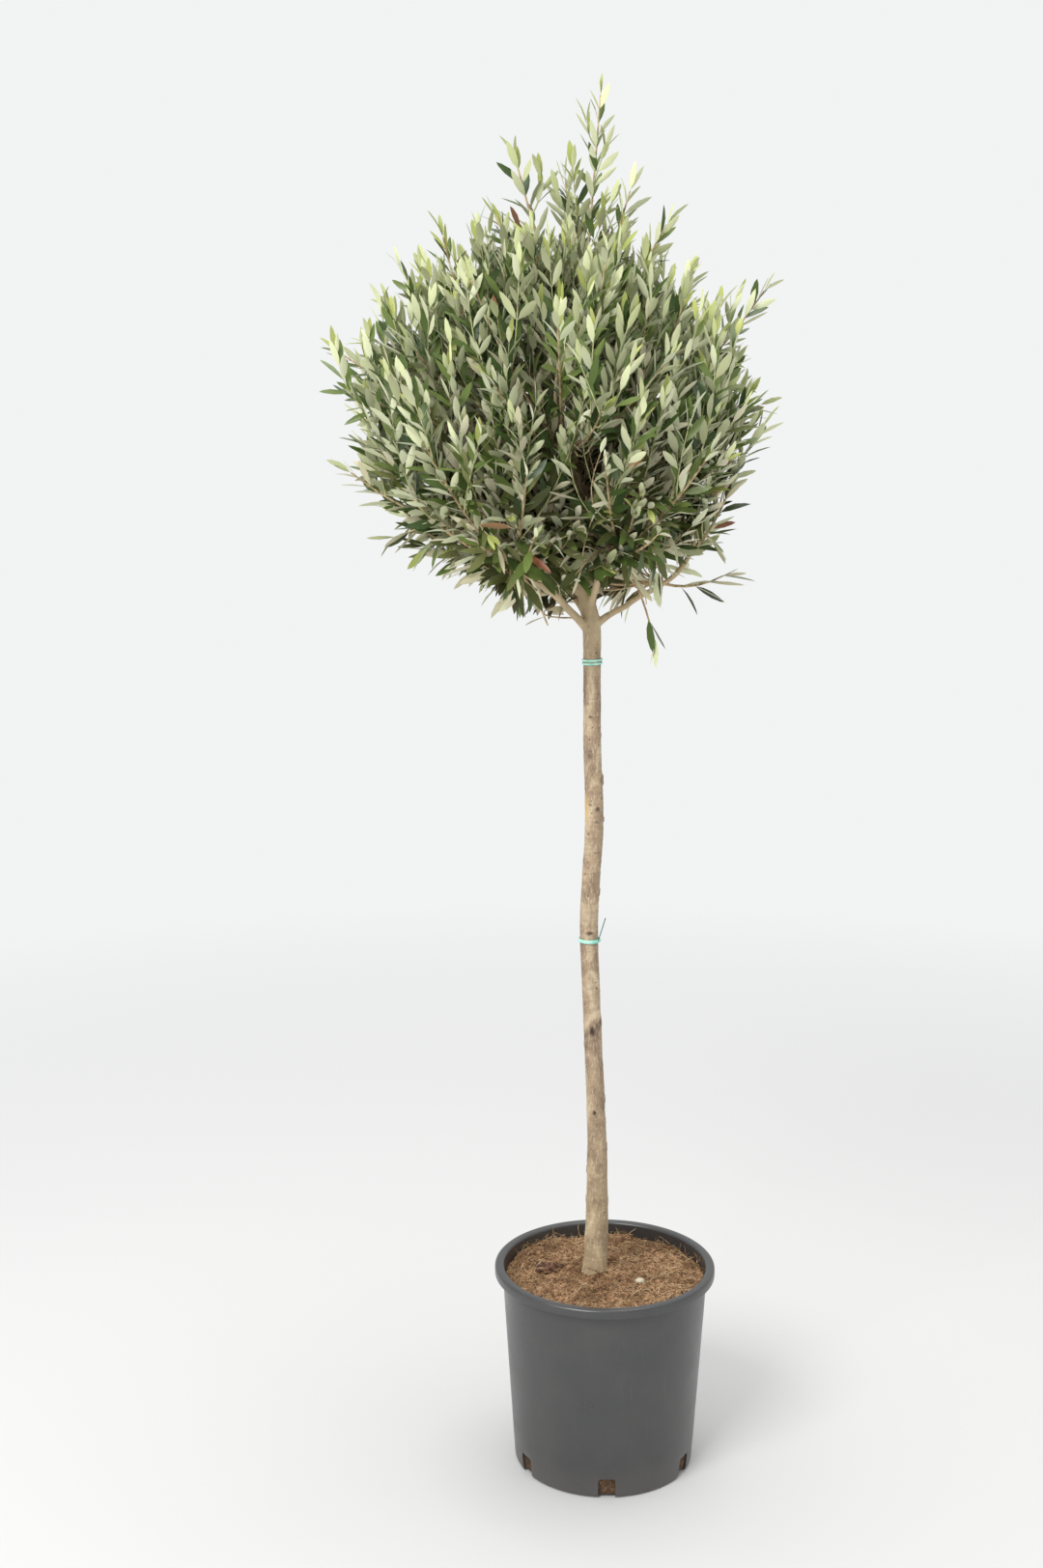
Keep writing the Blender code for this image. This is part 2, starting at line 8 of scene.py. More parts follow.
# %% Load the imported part
import math
import random

import bmesh
import bpy
from mathutils import Matrix, Vector, noise


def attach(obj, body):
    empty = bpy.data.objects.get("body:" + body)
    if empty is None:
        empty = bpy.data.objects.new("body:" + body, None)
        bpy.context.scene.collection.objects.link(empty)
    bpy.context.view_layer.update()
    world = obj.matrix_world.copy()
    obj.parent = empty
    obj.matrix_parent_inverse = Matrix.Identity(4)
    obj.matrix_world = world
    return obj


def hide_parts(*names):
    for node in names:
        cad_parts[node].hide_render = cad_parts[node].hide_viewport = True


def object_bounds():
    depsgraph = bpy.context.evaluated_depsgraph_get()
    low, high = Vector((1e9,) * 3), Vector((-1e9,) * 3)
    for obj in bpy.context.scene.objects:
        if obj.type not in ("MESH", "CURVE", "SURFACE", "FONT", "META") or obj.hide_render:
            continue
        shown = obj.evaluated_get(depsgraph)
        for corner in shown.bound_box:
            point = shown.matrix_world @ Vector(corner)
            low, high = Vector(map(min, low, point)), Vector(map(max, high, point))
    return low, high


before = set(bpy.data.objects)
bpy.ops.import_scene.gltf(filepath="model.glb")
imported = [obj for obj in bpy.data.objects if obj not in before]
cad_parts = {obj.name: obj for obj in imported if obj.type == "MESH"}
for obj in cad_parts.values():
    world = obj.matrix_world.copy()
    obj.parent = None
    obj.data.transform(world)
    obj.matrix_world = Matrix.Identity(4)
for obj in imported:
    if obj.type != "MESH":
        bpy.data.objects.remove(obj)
cad_box = [list(corner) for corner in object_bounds()]
print("CAD box, lowest and highest corner:", cad_box)

# %% [markdown]
# ## Small helpers
# Colours are written as sRGB hex codes, the way a paint chart or a picture editor gives them.
# Blender's nodes want linear light, so one function converts them. Another adds a node with its
# settings and its inputs, where an input is a value or the output of a node before it.

# %% Colours and nodes
UP = Vector((0, 0, 1))
MM = 0.001


def colour(code):
    """An sRGB hex code as linear red, green, blue and alpha."""
    channels = [int(code[at : at + 2], 16) / 255 for at in (0, 2, 4)]
    return (*(c / 12.92 if c <= 0.04045 else ((c + 0.055) / 1.055) ** 2.4 for c in channels), 1)


def add(tree, kind, inputs=None, **settings):
    """A new node. Each input, by name or number, gets a value or another node's output."""
    made = tree.nodes.new(kind)
    for name, value in settings.items():
        setattr(made, name, value)
    for socket, value in (inputs or {}).items():
        if isinstance(value, bpy.types.NodeSocket):
            tree.links.new(value, made.inputs[socket])
        else:
            made.inputs[socket].default_value = value
    return made


def new_material(name, base, roughness, ior, **sockets):
    """A Principled material, as its node tree and its shader."""
    made = bpy.data.materials.new(name)
    made.use_nodes = True
    shader = made.node_tree.nodes["Principled BSDF"]
    shader.inputs["Base Color"].default_value = colour(base)
    shader.inputs["Roughness"].default_value = roughness
    shader.inputs["IOR"].default_value = ior
    for socket, value in sockets.items():
        shader.inputs[socket.replace("_", " ")].default_value = value
    return made.node_tree, shader


def pattern(tree, size, detail=3.0, roughness=0.5, distortion=0.0):
    """Noise whose blotches are as wide as size says, in metres: one number, or x, y and z."""
    sizes = size if isinstance(size, tuple) else (size,) * 3
    where = add(tree, "ShaderNodeTexCoord").outputs["Object"]
    scale = tuple(1 / step for step in sizes)
    spot = add(tree, "ShaderNodeMapping", {"Vector": where, "Scale": scale}).outputs[0]
    inputs = {"Vector": spot, "Scale": 1.0, "Detail": detail, "Roughness": roughness,
              "Distortion": distortion}
    return add(tree, "ShaderNodeTexNoise", inputs).outputs["Fac"]


def ramp(tree, factor, *stops):
    """Colours or greys along a factor; each stop is (place, hex code)."""
    made = add(tree, "ShaderNodeValToRGB", {"Fac": factor})
    spots = made.color_ramp.elements
    while len(spots) < len(stops):
        spots.new(0.5)
    for spot, (place, code) in zip(spots, stops):
        spot.position = place
        spot.color = colour(code)
    return made.outputs["Color"]


def blend(tree, factor, first, second, mode="MIX"):
    """Two colours mixed; a hex code stands for a plain colour."""
    made = add(tree, "ShaderNodeMix", data_type="RGBA", blend_type=mode)
    for socket, value in (("Factor", factor), ("A", first), ("B", second)):
        entry = [s for s in made.inputs if s.name == socket and s.enabled][0]
        if isinstance(value, bpy.types.NodeSocket):
            tree.links.new(value, entry)
        else:
            entry.default_value = colour(value) if isinstance(value, str) else value
    return [s for s in made.outputs if s.enabled][0]


def rescale(tree, factor, low, high, start=0.0, stop=1.0):
    """A factor that runs from start to stop, moved to run from low to high."""
    inputs = {"Value": factor, "From Min": start, "From Max": stop, "To Min": low, "To Max": high}
    return add(tree, "ShaderNodeMapRange", inputs).outputs[0]


def raise_surface(tree, shader, height, depth):
    """Bump on a shader, from a height of 0 to 1 that stands for a depth in metres."""
    inputs = {"Height": height, "Distance": depth, "Strength": 1.0}
    bump = add(tree, "ShaderNodeBump", inputs)
    tree.links.new(bump.outputs["Normal"], shader.inputs["Normal"])


# %% [markdown]
# ## Pieces
# A finished piece is a plain mesh whose object sits at the origin, as the CAD nodes do. What
# repeats or follows a line is made with Geometry Nodes. A tree there needs named inputs, and its
# result has to be real faces, because an exported model keeps no instances. These helpers build
# such a tree's frame, run it once and keep the mesh that comes out.

# %% Pieces and Geometry Nodes
def new_object(name, mesh):
    made = bpy.data.objects.new(name, mesh)
    bpy.context.scene.collection.objects.link(made)
    return made


def plain(source):
    """Replaces an object by the plain mesh that its modifiers give."""
    bpy.context.view_layer.update()
    graph = bpy.context.evaluated_depsgraph_get()
    mesh = bpy.data.meshes.new_from_object(source.evaluated_get(graph))
    name = source.name
    bpy.data.objects.remove(source)
    mesh.name = name
    return new_object(name, mesh)


def new_nodes(name, **sockets):
    """A Geometry Nodes tree with a geometry input and output, and named inputs for its sizes."""
    tree = bpy.data.node_groups.new(name, "GeometryNodeTree")
    tree.interface.new_socket("Geometry", in_out="INPUT", socket_type="NodeSocketGeometry")
    for label, kind in sockets.items():
        label = label.replace("_", " ")
        tree.interface.new_socket(label, in_out="INPUT", socket_type=f"NodeSocket{kind}")
    tree.interface.new_socket("Geometry", in_out="OUTPUT", socket_type="NodeSocketGeometry")
    return tree, add(tree, "NodeGroupInput").outputs


def give_back(tree, geometry):
    """Realizes what a tree made, because an export drops instances, and hands it out."""
    made = add(tree, "GeometryNodeRealizeInstances", {"Geometry": geometry})
    add(tree, "NodeGroupOutput", {0: made.outputs[0]})


def run_nodes(holder, tree, **values):
    """Runs a tree on an object, its inputs set by identifier, and keeps the plain mesh."""
    modifier = holder.modifiers.new("Growth", "NODES")
    modifier.node_group = tree
    for item in tree.interface.items_tree:
        label = item.name.replace(" ", "_")
        if item.in_out == "INPUT" and label in values:
            modifier[item.identifier] = values[label]
    return plain(holder)


def finished(piece, slot, *nodes):
    """Puts a piece on the one body and hides the CAD nodes that it stands for. Its slot is not
    used.
    """
    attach(piece, "root")
    if nodes:
        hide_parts(*nodes)
    piece.data.calc_loop_triangles()
    print(f"{piece.name}: {len(piece.data.loop_triangles)} triangles")
    return piece


def own(piece, *materials):
    """Gives a piece these materials and no others."""
    piece.data.materials.clear()
    for tree in materials:
        piece.data.materials.append(bpy.data.materials[tree])
    return piece


# %% [markdown]
# ## Camera and studio
# The camera was fitted to the photograph: the known height of the plant and the ellipses of the
# pot's rim and foot give its place, its tilt and its lens. Its sensor width belongs to the
# picture's long side. The studio is a pale floor that fades into the light all round it, with a
# wide soft lamp in front to the left, a wider one overhead, and a fill from the world. The
# backdrop that the camera sees is a little brighter than the light that it gives.

# %% Camera
CAMERA_PLACE = (-0.119, -2.715, 1.518)
CAMERA_TILT_DOWN = 10.95
CAMERA_LENS = 46.46

lens = bpy.data.cameras.new("camera")
lens.lens = CAMERA_LENS
lens.sensor_width = 36
camera = new_object("camera", lens)
camera.location = CAMERA_PLACE
camera.rotation_euler = (math.radians(90 - CAMERA_TILT_DOWN), 0, 0)
bpy.context.scene.camera = camera

# %% Floor, lamp and world
FLOOR_REACH = 14.0
FADE_START, FADE_END = 0.8, 3.2
STUDIO_WHITE = "F2F3F3"
FLOOR_WHITE = "D5D5D4"
WORLD_LIGHT = 0.86
LAMPS = {
    "key": ((-1.6, -2.4, 3.2), 1.6, 98),
    "top": ((0.2, 0.3, 4.2), 2.2, 62),
}

sheet = bpy.data.meshes.new("floor")
corners = [(-FLOOR_REACH, -FLOOR_REACH, 0), (FLOOR_REACH, -FLOOR_REACH, 0),
           (FLOOR_REACH, FLOOR_REACH, 0), (-FLOOR_REACH, FLOOR_REACH, 0)]
sheet.from_pydata(corners, [], [(0, 1, 2, 3)])
floor = new_object("floor", sheet)

tree, shader = new_material("pale studio floor", FLOOR_WHITE, 0.9, 1.45)
where = add(tree, "ShaderNodeTexCoord").outputs["Object"]
away = add(tree, "ShaderNodeVectorMath", {0: where}, operation="LENGTH").outputs["Value"]
far = rescale(tree, away, 0, 1, FADE_START, FADE_END)
glow = add(tree, "ShaderNodeEmission", {"Color": colour(STUDIO_WHITE), "Strength": 1.0})
join = add(tree, "ShaderNodeMixShader", {0: far, 1: shader.outputs[0], 2: glow.outputs[0]})
tree.links.new(join.outputs[0], tree.nodes["Material Output"].inputs["Surface"])
own(floor, "pale studio floor")

world = bpy.data.worlds.new("studio")
world.use_nodes = True
bpy.context.scene.world = world
tree = world.node_tree
light_path = add(tree, "ShaderNodeLightPath").outputs["Is Camera Ray"]
strength = rescale(tree, light_path, WORLD_LIGHT, 1.0)
tree.nodes["Background"].inputs["Color"].default_value = colour(STUDIO_WHITE)
tree.links.new(strength, tree.nodes["Background"].inputs["Strength"])

for name, (place, size, power) in LAMPS.items():
    light = bpy.data.lights.new(name, "AREA")
    light.size = size
    light.energy = power
    lamp = new_object(name, light)
    lamp.location = place
    aim = Vector((0, 0, 1.0)) - lamp.location
    lamp.rotation_euler = aim.to_track_quat("-Z", "Y").to_euler()
bpy.context.scene.view_settings.view_transform = "Standard"
print("studio with", len(LAMPS), "lamps")

# %% [markdown]
# ## The limbs' routes
# A limb is a route: points with a radius, from root to tip. The numbers are the ones that the
# CAD's own limbs were made from, so the dressed trunk and boughs lie exactly where the solids
# are. A smooth curve through them then gives as many rings as the bark needs.

# %% Sizes of the trunk, the leader and the boughs
TRUNK_STATIONS = (
    (-0.0150, 0.000, 0.277, 0.0205),
    (-0.0140, 0.000, 0.290, 0.0180),
    (-0.0120, 0.000, 0.325, 0.0168),
    (-0.0115, 0.001, 0.400, 0.0155),
    (-0.0130, 0.002, 0.500, 0.0134),
    (-0.0205, 0.001, 0.666, 0.0124),
    (-0.0255, -0.001, 0.800, 0.0126),
    (-0.0195, -0.002, 0.935, 0.0128),
    (-0.0230, 0.000, 1.060, 0.0121),
    (-0.0235, 0.001, 1.160, 0.0120),
    (-0.0250, 0.000, 1.210, 0.0124),
    (-0.0320, 0.000, 1.245, 0.0108),
    (-0.0385, 0.000, 1.270, 0.0095),
)
LEADER_STATIONS = (
    (-0.0300, 0.001, 1.296, 0.0086),
    (-0.0120, 0.002, 1.327, 0.0080),
    (-0.0270, 0.001, 1.365, 0.0072),
    (-0.0450, -0.001, 1.413, 0.0064),
    (-0.0500, 0.000, 1.490, 0.0054),
    (-0.0460, 0.000, 1.580, 0.0042),
)
BOUGHS = {
    "left": ("trunk", 1.250, (-0.160, 0.000, 1.335), 0.0062, 40),
    "front_left": ("trunk", 1.199, (-0.125, -0.085, 1.295), 0.0058, 42),
    "front_right": ("trunk", 1.234, (0.004, -0.085, 1.320), 0.0054, 52),
    "right": ("trunk", 1.207, (0.062, -0.012, 1.262), 0.0048, 38),
    "back_right": ("trunk", 1.230, (0.012, 0.085, 1.330), 0.0056, 52),
    "back_left": ("trunk", 1.219, (-0.120, 0.085, 1.315), 0.0058, 48),
    "left_high": ("leader", 1.415, (-0.138, -0.010, 1.480), 0.0050, 22),
    "right_high": ("leader", 1.385, (0.022, -0.005, 1.472), 0.0050, 50),
    "front_high": ("leader", 1.352, (-0.062, -0.075, 1.440), 0.0050, 40),
    "back_high": ("leader", 1.372, (-0.065, 0.075, 1.455), 0.0050, 42),
}
HEARTS = {
    "left": (-0.235, 0.000, 1.385),
    "front_left": (-0.170, -0.140, 1.365),
    "front_right": (0.030, -0.140, 1.375),
    "right": (0.105, 0.000, 1.370),
    "back_right": (0.025, 0.140, 1.395),
    "back_left": (-0.165, 0.140, 1.385),
    "left_high": (-0.225, -0.010, 1.565),
    "right_high": (0.090, -0.010, 1.562),
    "front_high": (-0.070, -0.135, 1.535),
    "back_high": (-0.070, 0.140, 1.550),
    "top": (-0.045, 0.000, 1.700),
}
SEED = 20
BOUGH_TIP_RADIUS = 0.0036
BOUGH_RINGS = 7
BOUGH_WANDER = 0.0030
STRAIGHT_RINGS = (3, 2)
BEND_SHARE = 0.5
STEM_RINGS = 5
STEM_END_RADIUS = 0.0022
STEM_OVERSHOOT = 0.25


# %% Routes and places on them
def smooth(stations, rings):
    """A route with a number of rings, on a smooth curve through the stations."""
    rows = [Vector(row) for row in stations]
    rows = [2 * rows[0] - rows[1], *rows, 2 * rows[-1] - rows[-2]]
    route = []
    for step in range(rings):
        at = step * (len(rows) - 3) / (rings - 1)
        first = min(int(at), len(rows) - 4)
        t = at - first
        a, b, c, d = rows[first : first + 4]
        bend = (2 * a - 5 * b + 4 * c - d) * t + (3 * b - a - 3 * c + d) * t * t
        route.append(b + (c - a + bend) * t / 2)
    return route


def arched(start, turn, end, radii, rings):
    """A tapering route from start to end that sets out towards the point turn."""
    route = []
    for step in range(rings):
        t = step / (rings - 1)
        at = start * (1 - t) ** 2 + turn * 2 * t * (1 - t) + end * t * t
        route.append(Vector((*at, radii[0] + (radii[1] - radii[0]) * t)))
    return route


def at_height(route, height):
    """The point of a route at a height."""
    for low, high in zip(route, route[1:]):
        if low.z <= height <= high.z:
            return low.lerp(high, (height - low.z) / (high.z - low.z))
    return route[-1]


def at_arc(route, arc):
    """The point of a route at a length along it, and its direction there."""
    for here, there in zip(route, route[1:]):
        step = there.xyz - here.xyz
        if arc <= step.length:
            return here.lerp(there, arc / step.length), step.normalized()
        arc -= step.length
    return route[-1], step.normalized()


def length_of(route):
    return sum((b.xyz - a.xyz).length for a, b in zip(route, route[1:]))


def from_route(point, route):
    """The gap from a point to a limb's skin, and the length along the limb to that place."""
    best, arc, passed = math.inf, 0.0, 0.0
    for here, there in zip(route, route[1:]):
        step = there.xyz - here.xyz
        t = min(max((point - here.xyz).dot(step) / step.length_squared, 0), 1)
        gap = (point - here.xyz - step * t).length - (here.w + (there.w - here.w) * t)
        if gap < best:
            best, arc = gap, passed + step.length * t
        passed += step.length
    return best, arc


def bough_route(name, parents, chance):
    """A bough, from the middle of its parent to its tip."""
    parent, height, tip, radius, rise = BOUGHS[name]
    start = at_height(parents[parent], height).xyz
    end = Vector(tip)
    run = end - start
    ahead = Vector((run.x, run.y, 0)).normalized()
    slope = math.radians(rise)
    turn = start + (ahead * math.cos(slope) + UP * math.sin(slope)) * run.length * BEND_SHARE
    route = arched(start, turn, end, (radius, BOUGH_TIP_RADIUS), BOUGH_RINGS)
    for row in route[STRAIGHT_RINGS[0] : -STRAIGHT_RINGS[1]]:
        row.xyz += Vector([chance.uniform(-1, 1) * BOUGH_WANDER for _ in range(3)])
    return route


def stem_route(name, bough):
    """The stem of a mass, from its bough's tip to past the mass's heart."""
    start = bough[-1]
    heart = Vector(HEARTS[name])
    end = heart + (heart - start.xyz) * STEM_OVERSHOOT
    ahead = (start.xyz - bough[-2].xyz).normalized()
    turn = start.xyz + ahead * (end - start.xyz).length * BEND_SHARE
    return arched(start.xyz, turn, end, (start.w, STEM_END_RADIUS), STEM_RINGS)


chance = random.Random(SEED)
limbs = {
    "trunk": smooth(TRUNK_STATIONS, 27),
    "leader": smooth((TRUNK_STATIONS[-1], *LEADER_STATIONS), 15),
}
for name in BOUGHS:
    limbs[name] = bough_route(name, limbs, chance)
stems = {name: stem_route(name, limbs["leader" if name == "top" else name]) for name in HEARTS}
print(len(limbs), "limbs,", len(stems), "stems,",
      f"{sum(length_of(route) for route in [*limbs.values(), *stems.values()]):.2f} m in all")

# %% [markdown]
# ## A tube along every line
# Limbs, twigs, fibres and ties are all tubes along a line. One small tree turns a bare mesh of
# points and edges into them: each chain of edges becomes a curve, a named attribute gives its
# radius at every point, and a circle is swept along it.

# %% The tube tree
def swept_tubes():
    tree, inputs = new_nodes("tubes along lines", Sides="Int", Finish="Material")
    lines = add(tree, "GeometryNodeMeshToCurve", {"Mesh": inputs["Geometry"]}).outputs[0]
    named = add(tree, "GeometryNodeInputNamedAttribute", {"Name": "radius"}, data_type="FLOAT")
    radius = [s for s in named.outputs if s.enabled][0]
    thick = add(tree, "GeometryNodeSetCurveRadius", {"Curve": lines, "Radius": radius}).outputs[0]
    ring = add(tree, "GeometryNodeCurvePrimitiveCircle",
               {"Resolution": inputs["Sides"], "Radius": 1.0})
    swept = add(tree, "GeometryNodeCurveToMesh",
                {"Curve": thick, "Profile Curve": ring.outputs[0], "Fill Caps": True})
    if "Scale" in swept.inputs:
        tree.links.new(radius, swept.inputs["Scale"])
    solid = add(tree, "GeometryNodeSetMaterial",
                {"Geometry": swept.outputs[0], "Material": inputs["Finish"]}).outputs[0]
    give_back(tree, solid)
    return tree


TUBES = swept_tubes()


def tubes(name, routes, sides, finish):
    """One mesh with a closed tube along each route."""
    points, edges, radii = [], [], []
    for route in routes:
        first = len(points)
        points += [row.xyz for row in route]
        radii += [row.w for row in route]
        edges += [(i, i + 1) for i in range(first, len(points) - 1)]
    mesh = bpy.data.meshes.new(name)
    mesh.from_pydata(points, edges, [])
    mesh.attributes.new("radius", "FLOAT", "POINT").data.foreach_set("value", radii)
    made = run_nodes(new_object(name, mesh), TUBES, Sides=sides, Finish=bpy.data.materials[finish])
    made.data.shade_smooth()
    return made


# %% [markdown]
# ## Bark
# Young olive bark is smooth, thin and grey-tan, with a pink-brown cast in patches and a
# pale yellow one low down, where algae and moisture colour it. Fine rings run across it, rusty
# lenticels dot it, and every shoot that was pruned off leaves a knot: a raised lip round a dark,
# sunken scar. The big forms belong in the mesh, so that they show in the outline, and only the
# finest grain is bump.

# %% Bark material
# A smear of yellow lichen on the left of the stem.
LICHEN_PLACE, LICHEN_SIZE = (-0.0320, -0.0080, 0.960), (7 * MM, 12 * MM, 30 * MM)

# Lenticels are the bark's pores: rusty dots about 11 mm apart round the stem and 13 mm along it.
LENTICEL_SCALE = (1 / (11 * MM), 1 / (11 * MM), 1 / (13 * MM))


def bark_material():
    tree, shader = new_material("smooth young olive bark", "B5A184", 0.82, 1.5)
    patches = pattern(tree, (22 * MM, 22 * MM, 45 * MM), detail=4, distortion=0.6)
    base = ramp(tree, patches, (0.32, "6E5A4A"), (0.43, "917B65"), (0.54, "A68F74"),
                (0.68, "C8B799"))
    rings = pattern(tree, (30 * MM, 30 * MM, 2.2 * MM), detail=3)
    base = blend(tree, rescale(tree, rings, 0, 0.34, 0.50, 0.66), base, "7E6654")
    # The real grain is under half a millimetre wide, so it is drawn as coarse as it needs to show.
    grain = pattern(tree, (1.6 * MM, 1.6 * MM, 7 * MM), detail=3, roughness=0.6)
    base = blend(tree, rescale(tree, grain, 0, 0.6, 0.52, 0.70), base, "DCCFB4")
    where = add(tree, "ShaderNodeTexCoord").outputs["Object"]
    height = add(tree, "ShaderNodeSeparateXYZ", {0: where}).outputs["Z"]
    low = rescale(tree, height, 0.42, 0, 0.30, 0.60)
    algae = pattern(tree, (16 * MM, 16 * MM, 60 * MM), detail=2)
    damp = add(tree, "ShaderNodeMath", {0: low, 1: algae}, operation="MULTIPLY").outputs[0]
    base = blend(tree, damp, base, "CDBB8C")
    inputs = {0: where, 1: LICHEN_PLACE}
    spot = add(tree, "ShaderNodeVectorMath", inputs, operation="SUBTRACT").outputs[0]
    inputs = {0: spot, 1: tuple(1 / size for size in LICHEN_SIZE)}
    spot = add(tree, "ShaderNodeVectorMath", inputs, operation="MULTIPLY").outputs[0]
    span = add(tree, "ShaderNodeVectorMath", {0: spot}, operation="LENGTH").outputs["Value"]
    base = blend(tree, rescale(tree, span, 0.55, 0, 0.3, 1.0), base, "D9B56A")
    # Above the fork the pale young wood is partly painted light, against the crown's shade there.
    for attribute, shade in (("youth", "D2BE96"), ("scar", "3C2D22")):
        named = add(tree, "ShaderNodeAttribute", attribute_name=attribute).outputs["Fac"]
        base = blend(tree, named, base, shade)
    spread = add(tree, "ShaderNodeMapping", {"Vector": where, "Scale": LENTICEL_SCALE})
    pores = add(tree, "ShaderNodeTexVoronoi", {"Vector": spread.outputs[0], "Scale": 1.0})
    pore = rescale(tree, pores.outputs["Distance"], 0.75, 0, 0.07, 0.14)
    base = blend(tree, pore, base, "6E4834")
    tree.links.new(base, shader.inputs["Base Color"])
    tree.links.new(rescale(tree, grain, 0.72, 0.92), shader.inputs["Roughness"])
    relief = blend(tree, 0.5, ramp(tree, rings, (0.3, "000000"), (0.7, "FFFFFF")), grain)
    raise_surface(tree, shader, relief, 0.35 * MM)
    return tree


bark_material()

# %% [markdown]
# Limbs that only pass through each other look like pipes. Here each bough swells where it leaves
# its parent, as a real branch collar does. A Remesh modifier then fuses all limbs into one skin
# and a Smooth modifier rounds the crotches. After that the relief is pushed into the skin along
# its normals: growth rings, long low waves and the knots, each with its place on the trunk.

# %% The limbs' skin
SKIN_VOXEL = 1.5 * MM
COLLAR_SWELL, COLLAR_LENGTH = 0.35, 0.020


def with_collar(route, rings):
    """A finer route that swells near its root."""
    fine, arc = smooth(route, rings), 0.0
    for here, there in zip(fine, fine[1:]):
        here.w *= 1 + COLLAR_SWELL * math.exp(-((arc / COLLAR_LENGTH) ** 2))
        arc += (there.xyz - here.xyz).length
    return fine


routes = [smooth((*TRUNK_STATIONS, *LEADER_STATIONS, *stems["top"][1:]), 420)]
for name in BOUGHS:
    routes.append(with_collar((*limbs[name], *stems[name][1:]), 60))
skin = tubes("trunk_and_boughs", routes, 24, "smooth young olive bark")
fuse = skin.modifiers.new("Fuse", "REMESH")
fuse.mode = "VOXEL"
fuse.voxel_size = SKIN_VOXEL
ease = skin.modifiers.new("Ease", "SMOOTH")
ease.factor = 0.5
ease.iterations = 5
skin = plain(skin)
print("skin of", len(skin.data.vertices), "points")

# %% Knots and relief
# Height, turn from the front in degrees, half width and half height in mm, lip in mm, darkness.
KNOTS = (
    (1.174, 25, 2.0, 2.4, 0.2, 0.8), (1.105, -28, 1.4, 1.8, 0.1, 0.7),
    (1.087, -12, 4.0, 2.4, 0.5, 0.9), (1.034, -18, 5.0, 3.0, 0.7, 0.5),
    (1.016, 5, 5.5, 7.0, 0.8, 0.25), (1.000, 62, 6.0, 6.0, 2.2, 0.35),
    (0.966, -25, 3.2, 2.0, 0.4, 0.7), (0.960, 22, 4.5, 4.5, 0.9, 0.8),
    (0.944, 88, 2.4, 2.2, 2.0, 0.5), (0.942, 12, 6.5, 1.6, 0.7, 0.6),
    (0.925, -38, 2.4, 3.0, 0.4, 0.8), (0.899, 20, 6.0, 1.5, 0.6, 0.5),
    (0.869, -45, 2.0, 2.0, 0.2, 0.7), (0.871, 10, 2.0, 1.6, 0.2, 0.5),
    (0.842, 75, 4.0, 4.0, 1.4, 0.4), (0.785, 5, 7.5, 3.6, 0.6, 0.9),
    (0.705, 40, 2.6, 3.0, 0.6, 0.8), (0.655, 60, 4.0, 8.0, 1.2, 0.5),
    (0.643, -4, 5.2, 9.5, 1.2, 1.0), (0.541, 75, 4.0, 4.0, 1.1, 0.3),
    (0.524, -10, 3.2, 5.0, 0.7, 1.0), (0.510, 80, 3.0, 3.0, 0.9, 0.4),
    (0.470, 82, 4.0, 4.5, 1.1, 0.3), (0.436, -80, 4.0, 3.5, 1.1, 0.4),
    (0.392, -82, 4.0, 4.0, 1.0, 0.3), (0.388, 84, 3.6, 4.0, 1.0, 0.3),
    (0.980, 160, 6.0, 5.0, 1.4, 0.6), (0.880, -140, 5.0, 4.0, 1.2, 0.7),
    (0.740, 170, 5.0, 6.0, 1.2, 0.8), (0.620, -120, 4.0, 5.0, 1.2, 0.6),
    (0.560, 150, 6.0, 4.0, 1.2, 0.7), (0.420, 135, 5.0, 5.0, 1.2, 0.5),
    (1.060, 120, 5.0, 3.0, 1.2, 0.6), (1.120, -130, 4.0, 4.0, 1.0, 0.6),
)
RINGS = (0.34, 0.395, 0.448, 0.459, 0.505, 0.560, 0.592, 0.652, 0.700, 0.762, 0.83, 0.885,
         0.930, 0.985, 1.03, 1.075, 1.128, 1.185)
WAVE, WRINKLE, RING_LIFT = 0.55 * MM, 0.30 * MM, 0.28 * MM
RING_LENGTH = 2.4 * MM
# Bark is young and pale above the fork, and is painted paler there too: painted light where the
# crown shades the fork.
YOUNG_AND_LIT_FROM, YOUNG_AND_LIT_RISE, YOUNG_AND_LIT_MOST = 1.15, 0.10, 0.70


def relief_at(point, axis):
    """How far the bark stands out at a point of the trunk, and how dark the scar there is."""
    stretched = Vector((point.x * 60, point.y * 60, point.z * 28))
    lift = WAVE * noise.noise(stretched)
    lift += WRINKLE * noise.noise(Vector((point.x * 70, point.y * 70, point.z * 330)))
    slip = 0.004 * noise.noise(Vector((point.x * 45, point.y * 45, point.z * 8)))
    for height in RINGS:
        lift += RING_LIFT * math.exp(-(((point.z + slip - height) / RING_LENGTH) ** 2))
    out = point - axis.xyz
    turn = math.degrees(math.atan2(out.x, -out.y))
    scar = 0.0
    for height, place, wide, tall, lip, dark in KNOTS:
        down = (point.z - height) / (tall * MM)
        if abs(down) > 2.5:
            continue
        along = (turn - place + 180) % 360 - 180
        across = math.radians(along) * axis.w / (wide * MM)
        span = math.hypot(down, across)
        lift += lip * MM * (0.9 * math.exp(-((span - 1.0) / 0.45) ** 2)
                            - 0.7 * math.exp(-((span / 0.7) ** 2)))
        scar = max(scar, dark * math.exp(-((span / 0.75) ** 4)))
    return lift, scar


